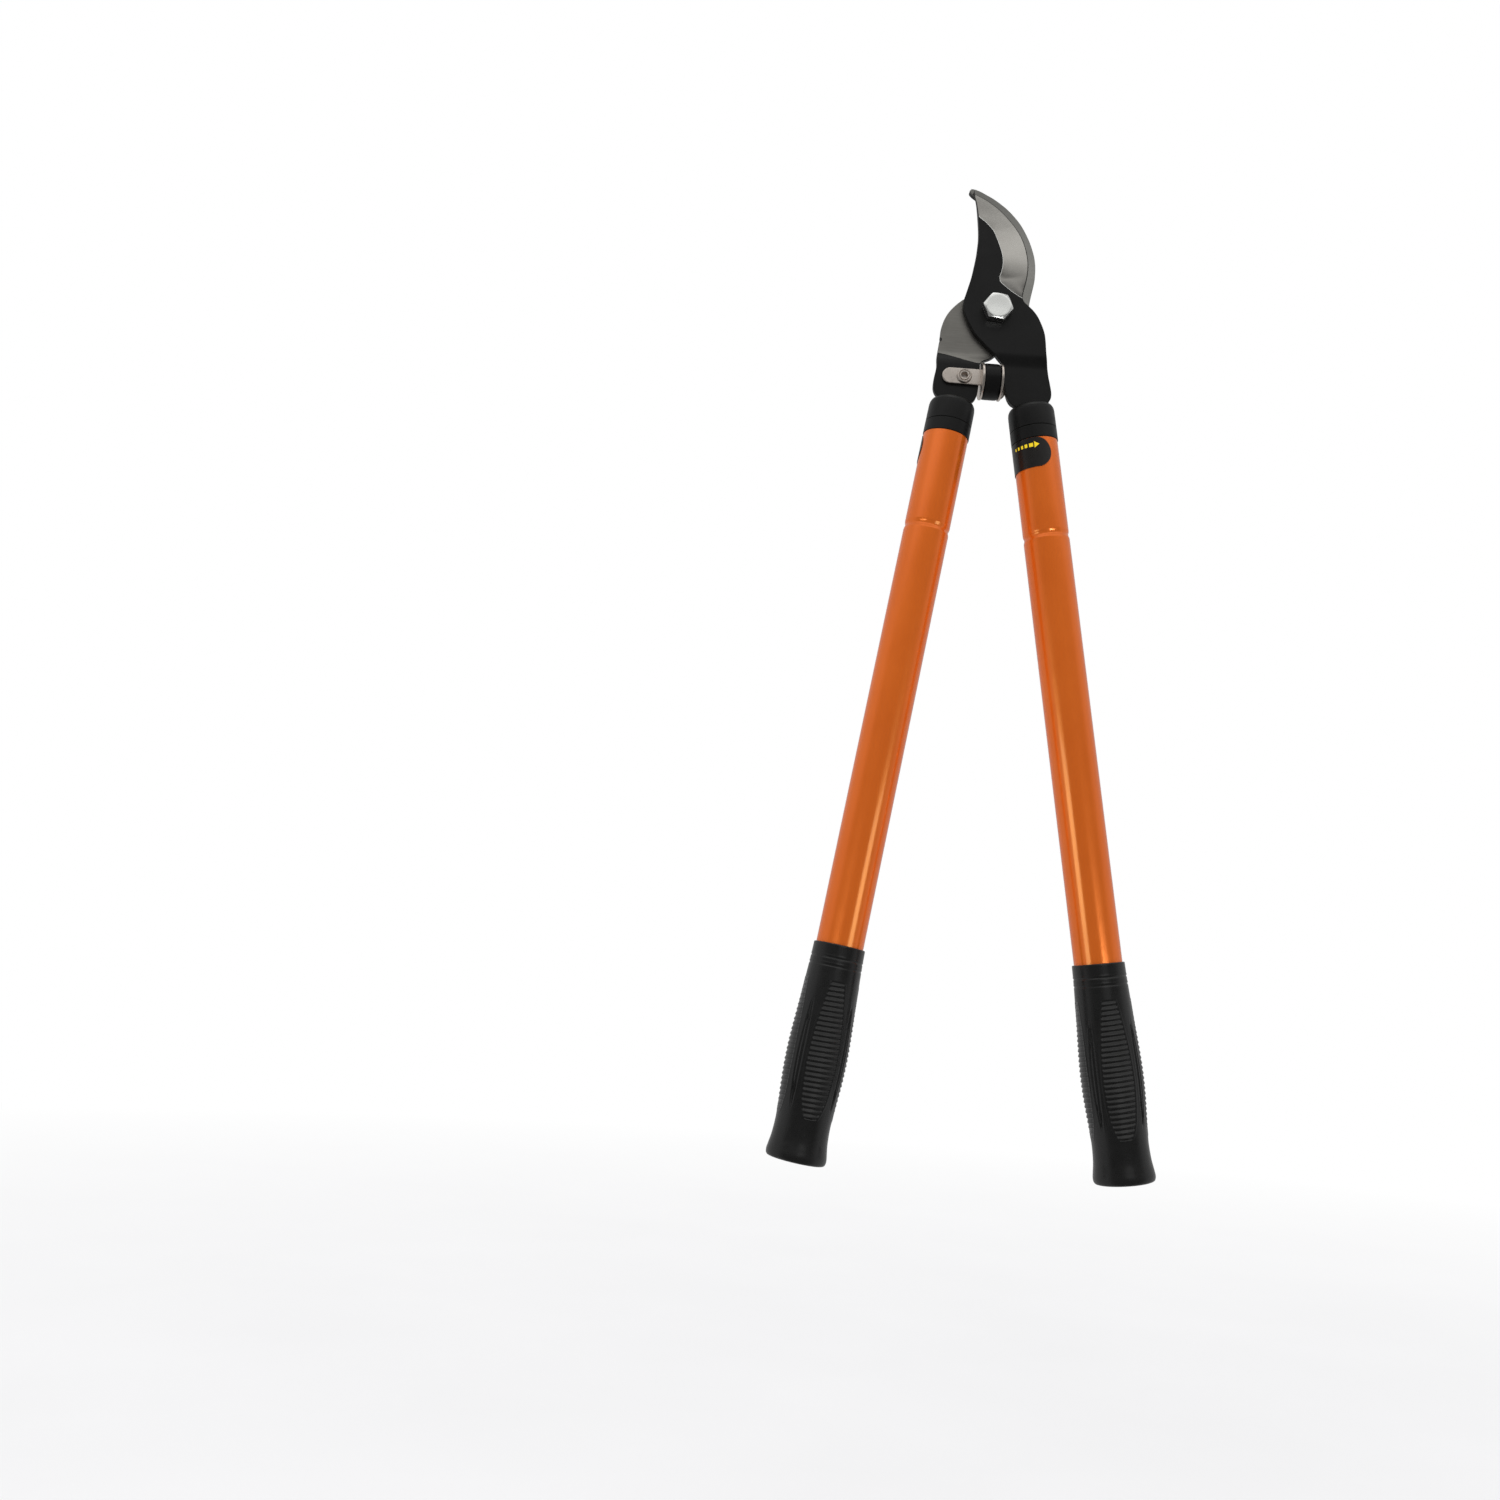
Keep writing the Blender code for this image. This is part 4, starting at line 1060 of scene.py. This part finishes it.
def tang_collar(pre, arm, frame_matrix):
    # (radius, distance down, corner radius)
    rows = [(0, 71.9, 0), (12.0, 71.9, 1.2), (13.8, 72.4, 1.5), (15.2, 73.5, 1.8),
            (16.1, 75.3, 2.0), (16.4, 77.5, 2.5), (16.45, 84, 3), (16.45, 90, 0.35),
            (13.5, 90, 0), (13.5, 84.3, 0), (11.4, 84.3, 0), (11.4, 100, 0.4),
            (0, 100, 0)]
    collar = turned(pre + "tang_collar", [row[:2] for row in rows],
                    [row[2] for row in rows], BLACK_NYLON, arm, frame_matrix)
    cut(collar, tang_slot())


def inner_tube(pre, arm, frame_matrix):
    outer, bore, top, end = 13.2, 11.7, 84.6, 372
    tube = turned(pre + "inner_tube",
                  [(outer, top), (outer, end), (bore, end), (bore, top)], 0.25,
                  ALLOY, arm, frame_matrix)
    reach = 20
    drill = [(0, -reach), (TANG_HOLE_R, -reach), (TANG_HOLE_R, reach), (0, reach)]
    cut(tube, lathed(drill, 48, across_handle(TANG_RIVET_AT)))


def tang_rivet(pre, arm, frame_matrix):
    rows = [(0, -13.0), (1.6, -12.95), (2.5, -12.7), (3.0, -12.2), (3.0, 12.2),
            (2.5, 12.7), (1.6, 12.95), (0, 13.0)]
    publish(pre + "tang_rivet", lathed(rows, 40, across_handle(TANG_RIVET_AT)),
            arm, ZINC, matrix=frame_matrix)


def guide_ring(pre, own, frame_matrix):
    rows = [(13.5, 90.3), (16.5, 90.3), (16.5, 99.4), (14.4, 99.4), (14.4, 122),
            (13.5, 122)]
    turned(pre + "guide_ring", rows, [0.2, 0.45, 0.35, 0, 0.2, 0.2], BLACK_NYLON,
           own, frame_matrix)


def outer_tube(pre, own, frame_matrix):
    """The painted tube, with one rolled groove round it."""
    outer, bore, top, end = 16.0, 14.7, 99.7, 602
    groove_at, groove_half, groove_depth = 169.6, 3.2, 0.65
    groove = [(groove_depth * 0.5 * (1 + math.cos(math.pi * t / 8)),
               groove_at + groove_half * t / 8) for t in range(-8, 9)]
    rows = [(outer, along) for along in (top, 130, 160)]
    rows += [(outer - depth, along) for depth, along in groove]
    rows += [(outer, along) for along in (180, 260, 340, 420, 500, 560, end)]
    rows += [(bore, end), (bore, 176)]
    rows += [(bore - depth, along) for depth, along in reversed(groove)]
    rows.append((bore, top))
    publish(pre + "outer_tube", lathed(down(rows), 144), own, PAINT,
            matrix=frame_matrix, sharp=40)


# The grip's outside, (radius, distance down), and its ends.
GRIP = [
    (17.4, 468.5), (17.5, 474), (17.7, 481), (18.2, 492), (18.95, 506), (19.8, 520),
    (20.4, 533), (20.55, 544), (20.25, 555), (19.5, 567), (18.7, 577.5), (18.3, 586),
    (18.75, 596), (19.6, 602), (20.15, 606.0), (19.9, 608.3), (19.2, 609.5),
    (18.0, 610.0)]
GRIP_LIP = [(16.9, 467.72), (17.25, 467.95)]
GRIP_END = [(17.2, 610.0), (16.6, 609.75), (16.2, 609.75), (15.6, 610.0),
            (9.0, 610.0), (8.6, 609.8), (8.2, 609.8), (7.8, 610.0), (0, 610)]
GRIP_BORE = [(16.3, 467.9), (16.3, 602.3), (0, 602.3)]
GRIP_SEGMENTS = 256
# Half the width of a ribbed panel in degrees, by distance down.
PANEL_AT = [490.5, 492.5, 500, 510, 520, 530, 545, 560, 570, 577, 580.4, 582]
PANEL_HALF = [11.5, 13.5, 17.5, 21.5, 24.7, 26.7, 28.4, 26.7, 24.0, 18.0, 13.5, 10.0]
RIB_PITCH = 3.3


def smooth(x):
    x = np.clip(x, 0.0, 1.0)
    return x * x * (3 - 2 * x)


def bell(x, width):
    return np.exp(-(x / width)**2)


def turn_from(angle, degrees):
    """Degrees from a direction, between -180 and 180."""
    return np.degrees((angle - math.radians(degrees) + math.pi) % (2 * math.pi)
                      - math.pi)


def grip_relief(angle, along, radius, centre):
    """How far the grip's skin stands from its turned shape, in mm.  centre is
    the direction of the first ribbed panel in degrees."""
    relief = np.zeros_like(angle)
    for line in (477.0, 482.0):     # two grooves round the top
        relief -= 0.42 * bell(along - line, 0.42)
        relief += 0.16 * bell(along - line + 1.0, 0.5)
    half = np.interp(along, PANEL_AT, PANEL_HALF)
    ends = smooth((along - 491.6) / 0.9) * smooth((581.6 - along) / 0.9)
    for k in range(4):
        off = turn_from(angle, centre + 90 * k)
        arc = np.radians(off) * radius
        gap = np.radians(half - np.abs(off)) * radius
        inside = smooth(gap / 0.55 + 0.5) * ends
        phase = ((along + 0.055 * arc - 492.0) / RIB_PITCH) % 1.0
        rise = np.clip((phase - 0.03) / 0.62, 0.0, 1.0)
        rib = (0.55 * rise + 0.45 * smooth(rise)) * smooth((0.98 - phase) / 0.20)
        share = 1.0 if k in (0, 2) else 0.8
        relief += inside * share * (-0.72 + 0.80 * rib)
        # a fine lip round the panel
        relief += 0.16 * bell(gap + 0.9, 0.5) * ends
        # the slender fin halfway between two panels
        arc = np.radians(turn_from(angle, centre - 45 + 90 * k)) * radius
        v = np.clip((along - 503.0) / 75.0, 0.0, 1.0)
        width = 2.3 * np.sin(math.pi * v)**0.75
        shown = smooth(width / 0.9)
        relief -= 0.40 * shown * bell(np.abs(arc) - width * 0.62, 0.48)
        relief += 0.34 * shown * bell(arc, 0.55)
        relief += 0.12 * shown * bell(np.abs(arc) - width - 0.6, 0.6)
    return relief


def grip_rows():
    """(radius, distance down) rows, evenly spaced over the ribbed stretch."""
    curve = curve_through(GRIP_LIP + GRIP[:1], 0.3)[:-1] + curve_through(GRIP, 0.6)
    points = [(p.x, p.y) for p in curve]
    radii, alongs = np.array(points).T
    middle = np.arange(489.6, 583.9, 0.33)
    return ([p for p in points if p[1] < 489.5]
            + list(zip(np.interp(middle, alongs, radii), middle))
            + [p for p in points if p[1] > 584.0])


def grip(pre, own, frame_matrix, centre):
    rows, count = grip_rows(), GRIP_SEGMENTS
    turns = np.arange(count) * 2 * math.pi / count  # from the front towards +X
    angle, radius = np.meshgrid(turns, [r for r, _ in rows])
    _, along = np.meshgrid(turns, [s for _, s in rows])
    fade = smooth((along - 469.5) / 2.0) * smooth((600.0 - along) / 6.0)
    radius = radius + grip_relief(angle, along, radius, centre) * fade
    points = np.stack([radius * np.sin(angle), -radius * np.cos(angle), -along],
                      -1).reshape(-1, 3).tolist()
    faces = []

    def bridge(last, now, inward=False):
        """Joins two rings; a ring of one point closes the shape."""
        for j in range(count):
            a, b = j, (j + 1) % count
            if inward:
                a, b = b, a
            tail = (now[0],) if len(now) == 1 else (now[b], now[a])
            faces.append((last[a], last[b], *tail))

    def extend(last, profile, inward):
        for r, s in profile:
            first = len(points)
            if r == 0:
                points.append((0, 0, -s))
            else:
                points.extend((r * math.sin(t), -r * math.cos(t), -s) for t in turns)
            now = list(range(first, len(points)))
            bridge(last, now, inward)
            last = now

    rings = [list(range(i * count, (i + 1) * count)) for i in range(len(rows))]
    for last, now in zip(rings, rings[1:]):
        bridge(last, now)
    extend(rings[-1], GRIP_END, inward=False)
    extend(rings[0], GRIP_BORE, inward=True)
    mesh = bpy.data.meshes.new(pre + "grip_fine")
    mesh.from_pydata([(x * MM, y * MM, z * MM) for x, y, z in points], [],
                     [tuple(reversed(face)) for face in faces])
    mesh.update()
    mesh.shade_smooth()
    mesh.set_sharp_from_angle(angle=math.radians(62))
    add_piece(mesh, own, [GRIP_RUBBER], pre + "grip",
              frame_matrix, weighted=False)


LABEL_R = 16.45
LABEL_IN_R = 16.2
LABEL_TOP, LABEL_HEIGHT = 99.9, 21.6
LABEL_TURN = 185.0          # degrees the label reaches round the tube
PRINT_IN_R, PRINT_OUT_R = 16.47, 16.53
PRINT_AT = 105.3            # the arrow's middle, down the axis
# Dashes of the arrow: start and end in degrees, height in mm.
DASHES = ((-50, -46, 2.2), (-40, -35, 2.3), (-29.5, -24, 2.4), (-19.5, -12.5, 2.55),
          (-8, 2, 2.7))


def wrap(solid, inner, outer, top, bottom, ends, columns, rows):
    """A patch wrapped on the tube.  ends(v) gives its start and end along the
    arc in mm, at v from -1 at the top to 1 at the bottom."""
    grids = []
    for r in (outer, inner):
        columns_made = []
        for i in range(columns + 1):
            column = []
            for j in range(rows + 1):
                v = -math.cos(math.pi * j / rows)
                start, end = ends(v)
                angle = (start + (end - start) * i / columns) / LABEL_R
                along = (top + bottom) / 2 + (bottom - top) / 2 * v
                column.append(solid.verts.new((r * math.sin(angle),
                                               -r * math.cos(angle), -along)))
            columns_made.append(column)
        grids.append(columns_made)
    skin, base = grids
    for i in range(columns):
        for j in range(rows):
            solid.faces.new((skin[i][j], skin[i][j + 1], skin[i + 1][j + 1],
                             skin[i + 1][j]))
            solid.faces.new((base[i][j], base[i + 1][j], base[i + 1][j + 1],
                             base[i][j + 1]))
    loop = ([(i, 0) for i in range(columns)] + [(columns, j) for j in range(rows)]
            + [(i, rows) for i in range(columns, 0, -1)]
            + [(0, j) for j in range(rows, 0, -1)])
    for k in range(len(loop)):
        (a, b), (c, d) = loop[k], loop[(k + 1) % len(loop)]
        solid.faces.new((skin[a][b], skin[c][d], base[c][d], base[a][b]))


def label(pre, own, frame_matrix, end_angle):
    """The film, round at both ends.  end_angle is in degrees from the front."""
    half = LABEL_HEIGHT / 2
    start = LABEL_R * math.radians(end_angle - LABEL_TURN)
    end = LABEL_R * math.radians(end_angle)

    def ends(v):
        cap = half * (1 - math.sqrt(max(0.0, 1 - (0.985 * v)**2)))
        return start + cap, end - cap

    solid = bmesh.new()
    wrap(solid, LABEL_IN_R, LABEL_R, LABEL_TOP, LABEL_TOP + LABEL_HEIGHT, ends,
         columns=72, rows=20)
    publish(pre + "label", solid, own, FILM, matrix=frame_matrix, sharp=50)


def label_arrow(pre, own, frame_matrix, end_angle):
    """The printed arrow: five dashes that grow, then the head."""
    turn = end_angle - 46.0
    solid = bmesh.new()
    for low, high, height in DASHES:
        arc = (LABEL_R * math.radians(turn + low), LABEL_R * math.radians(turn + high))
        wrap(solid, PRINT_IN_R, PRINT_OUT_R, PRINT_AT - height / 2,
             PRINT_AT + height / 2, lambda v: arc, columns=4, rows=2)
    base = LABEL_R * math.radians(turn + 5)
    tip = LABEL_R * math.radians(turn + 17)
    rings = []
    for k in range(9):
        t = k / 8
        half = 2.3 * (1 - t) + 0.05
        angle = (base + (tip - base) * t) / LABEL_R
        rings.append([solid.verts.new((r * math.sin(angle), -r * math.cos(angle),
                                       -(PRINT_AT + sign * half)))
                      for r in (PRINT_OUT_R, PRINT_IN_R) for sign in (-1, 1)])
    for this, following in zip(rings, rings[1:]):
        for a, b in ((0, 1), (1, 3), (3, 2), (2, 0)):
            solid.faces.new((this[a], this[b], following[b], following[a]))
    solid.faces.new([rings[0][i] for i in (0, 2, 3, 1)])
    solid.faces.new([rings[8][i] for i in (0, 1, 3, 2)])
    publish(pre + "label_arrow", solid, own, YELLOW, extra=True,
            slot=slot_of(FILM), matrix=frame_matrix, sharp=30)


def handle(side, pre, arm, grip_centre, label_end):
    """One handle; the two angles are in degrees from the front towards +X."""
    own, matrix = pre + "handle", axis_matrix(side)
    tang_collar(pre, arm, matrix)
    inner_tube(pre, arm, matrix)
    tang_rivet(pre, arm, matrix)
    guide_ring(pre, own, matrix)
    outer_tube(pre, own, matrix)
    grip(pre, own, matrix, grip_centre)
    label(pre, own, matrix, label_end)
    label_arrow(pre, own, matrix, label_end)


def finish_kept_nodes():
    """CAD nodes that stay as they are: hidden parts, in their own finishes."""
    kept = {"pivot_bush": BRONZE}
    for pre in ("left_", "right_"):
        kept[pre + "expander_stud"] = ZINC
        kept[pre + "expander_collet"] = BLACK_NYLON
        kept[pre + "expander_cone"] = WHITE_NYLON
    for name, material in kept.items():
        node = frame["nodes"][name]
        node.data.materials.clear()
        node.data.materials.append(material)
        slot_of(material)


# ============================================================ floor and world
# From here on, lengths are in metres.
FLOOR_Z = -0.90
FLOOR_RINGS = [0.5, 1, 2, 3, 5, 8, 14]      # radii
FLOOR_SEGMENTS = 48


def floor_material():
    """A pale floor that fades to plain white with distance."""
    look = Look("floor_look", rough=0.8, spec=0.1)
    look.colour(look.two_tone(look.noise(scale=3.0, detail=3.0),
                              dark=grey(0.86), light=grey(0.88)))
    glow = look.new("ShaderNodeEmission", {"Color": (1, 1, 1, 1), "Strength": 1.0})
    reach = look.new("ShaderNodeVectorMath", {0: look.place}, operation="LENGTH")
    far = look.span(reach.outputs["Value"], low=0.0, high=1.0, start=0.9, end=3.2)
    look.feed(look.tree.nodes["Material Output"].inputs["Surface"],
              look.mix_shader(far, look.surface.outputs[0], glow.outputs[0]))
    return look.material


def make_floor():
    solid = bmesh.new()
    centre = solid.verts.new((0, 0, 0))
    last = None
    for radius in FLOOR_RINGS:
        angles = [2 * math.pi * i / FLOOR_SEGMENTS for i in range(FLOOR_SEGMENTS)]
        ring = [solid.verts.new((radius * math.cos(a), radius * math.sin(a), 0))
                for a in angles]
        for i in range(FLOOR_SEGMENTS):
            j = (i + 1) % FLOOR_SEGMENTS
            if last is None:
                solid.faces.new((centre, ring[i], ring[j]))
            else:
                solid.faces.new((last[i], ring[i], ring[j], last[j]))
        last = ring
    mesh = bpy.data.meshes.new("floor")
    solid.to_mesh(mesh)
    solid.free()
    obj = bpy.data.objects.new("floor", mesh)
    scene.collection.objects.link(obj)
    obj.location = (0, 0, FLOOR_Z)
    mesh.materials.append(floor_material())
    obj.visible_glossy = False


# Brightness of the diffuse light, from behind SKY_AIM (0) to along it (1).
SKY_AIM = (-0.10, -0.80, -0.60)
SKY_STOPS = ((0.30, 1.05), (0.62, 0.98), (0.84, 0.62), (0.97, 0.40))
# Brightness that shiny pieces mirror, from straight down (0) to straight up (1).
BAND_STOPS = ((0.0, 0.20), (0.40, 0.16), (0.60, 0.20), (0.69, 0.22), (0.74, 0.95),
              (0.81, 1.05), (0.870, 0.54), (0.93, 0.70), (1.0, 1.60))


def make_world():
    """Plain white to the camera; one sky for diffuse rays, one for glossy."""
    world = bpy.data.worlds.new("studio")
    scene.world = world
    world.use_nodes = True
    graph = Graph(world.node_tree)
    graph.tree.nodes.clear()
    output = graph.new("ShaderNodeOutputWorld")

    def background(colour):
        return graph.new("ShaderNodeBackground",
                         {"Color": colour, "Strength": 1.0}).outputs[0]

    seen = background((1, 1, 1, 1))
    direction = graph.new("ShaderNodeTexCoord").outputs["Generated"]
    facing = graph.new("ShaderNodeVectorMath",
                       {0: direction, 1: Vector(SKY_AIM).normalized()},
                       operation="DOT_PRODUCT").outputs["Value"]
    lit = background(graph.ramp(graph.math("MULTIPLY_ADD", facing, 0.5, 0.5),
                                [(at, (v, v, v * 1.01)) for at, v in SKY_STOPS]))

    # Bands by height, evened out to one grey round the sides and the back.
    split = graph.new("ShaderNodeSeparateXYZ", {0: direction})
    height = graph.span(split.outputs["Z"], low=0.0, high=1.0, start=-1.0, end=1.0)
    bands = graph.ramp(height, [(at, (v, v, v * 0.985)) for at, v in BAND_STOPS],
                       interpolation="EASE")
    frontward = graph.math("MULTIPLY", split.outputs["Y"], -1.0)
    turn = graph.math("ARCTAN2", split.outputs["X"], frontward)
    side = graph.span(graph.math("ABSOLUTE", turn), low=0.0, high=1.0,
                      start=0.90, end=1.45, interpolation_type="SMOOTHSTEP")
    shine = background(graph.mix(side, bands, (0.52, 0.52, 0.52, 1)))

    ray = graph.new("ShaderNodeLightPath").outputs
    both = graph.mix_shader(ray["Is Glossy Ray"], lit, shine)
    graph.feed(output.inputs["Surface"],
               graph.mix_shader(ray["Is Camera Ray"], both, seen))


# ==================================================================== lights
def softbox(name, place, aim, width, height, power):
    data = bpy.data.lights.new(name, "AREA")
    data.shape = "RECTANGLE"
    data.size, data.size_y = width, height
    data.energy = power
    obj = bpy.data.objects.new(name, data)
    scene.collection.objects.link(obj)
    obj.location = place
    obj.rotation_euler = (Vector(aim) - Vector(place)).to_track_quat(
        "-Z", "Y").to_euler()
    obj.visible_camera = False
    return obj


GLINT_REACH = 1.6           # distance of the glint boxes from the Z axis
STREAK = (0.50, 1.0, 0.92)
BEAD = (0.80, 1.0, 0.85)
WHITE = (1.0, 1.0, 1.0)
# Boxes that only show in reflections, each on the pieces it is for: a streak
# along each painted tube, a glint on its groove, a soft sheen on each grip,
# and the corners of the bolt's head.
# Name, degrees from the front towards +X, z, width, height, watts, pieces, colour.
GLINTS = (
    ("streak_l", 42.0, -0.51, 0.62, 0.46, 2.9, "left_outer_tube", STREAK),
    ("streak_r", -58.0, -0.51, 0.62, 0.46, 2.9, "right_outer_tube", STREAK),
    ("bead_l", -36.0, -0.55, 0.85, 0.17, 6.0, "left_outer_tube", BEAD),
    ("bead_r", 26.0, -0.55, 0.75, 0.17, 5.5, "right_outer_tube", BEAD),
    ("sheen_l", 14.0, -0.02, 0.80, 0.50, 1.1, "left_grip", WHITE),
    ("sheen_r", 8.0, -0.02, 0.80, 0.50, 1.1, "right_grip", WHITE),
    ("corner", 10.0, -1.12, 1.30, 0.50, 9.0, "pivot_bolt_fine", WHITE),
)


def glint_box(name, azimuth, z, width, height, power, pieces, colour):
    angle = math.radians(azimuth)
    place = (GLINT_REACH * math.sin(angle), -GLINT_REACH * math.cos(angle), z)
    box = softbox(name, place, (0.0, 0.0, z), width, height, power)
    box.data.color = colour
    box.visible_diffuse = False
    receivers = bpy.data.collections.new(name + "_receivers")
    for obj in list(scene.objects):
        if obj.type == "MESH" and obj.name.startswith(pieces):
            receivers.objects.link(obj)
    box.light_linking.receiver_collection = receivers


def make_lights():
    key = softbox("key", place=(-0.8, -1.9, 1.5), aim=(0.0, 0.0, -0.1),
                  width=1.0, height=1.0, power=8.0)
    key.visible_glossy = False
    for glint in GLINTS:
        glint_box(*glint)


# ==================================================================== camera
CAMERA_PLACE = (-0.1682, -0.93355, -0.4939)
CAMERA_ROLL, CAMERA_PITCH, CAMERA_YAW = 3.93, -9.6, -0.73   # degrees
CAMERA_LENS = 33.6          # mm, on a sensor 36 mm wide


def make_camera():
    turn = (Matrix.Rotation(math.radians(CAMERA_ROLL), 3, "Z")
            @ Matrix.Rotation(math.radians(CAMERA_PITCH), 3, "X")
            @ Matrix.Rotation(math.radians(CAMERA_YAW), 3, "Y"))
    # The rows are right, down and ahead, in a frame with y down and z ahead.
    right, low, ahead = (Vector((row[0], row[2], -row[1])) for row in turn)
    data = bpy.data.cameras.new("camera")
    data.sensor_width = 36.0
    data.lens = CAMERA_LENS
    data.clip_start, data.clip_end = 0.01, 100.0
    obj = bpy.data.objects.new("camera", data)
    scene.collection.objects.link(obj)
    basis = Matrix((right, -low, -ahead)).transposed().to_4x4()
    obj.matrix_world = Matrix.Translation(CAMERA_PLACE) @ basis
    scene.camera = obj


blade_plate()
hook_plate()
pivot_bolt()
pivot_washer()
lock_nut()
nut_insert()
bumper_bracket()
stop_bracket()
bumper_rubber()
bumper_rivet()
handle(-1, "left_", "hook_arm", grip_centre=8.5, label_end=-74.0)
handle(1, "right_", "blade_arm", grip_centre=-2.5, label_end=25.0)
finish_kept_nodes()
make_floor()
make_world()
make_lights()
make_camera()
scene.view_settings.view_transform = "Standard"
scene.view_settings.look = "None"
scene.view_settings.exposure = 0.0
scene.view_settings.gamma = 1.0
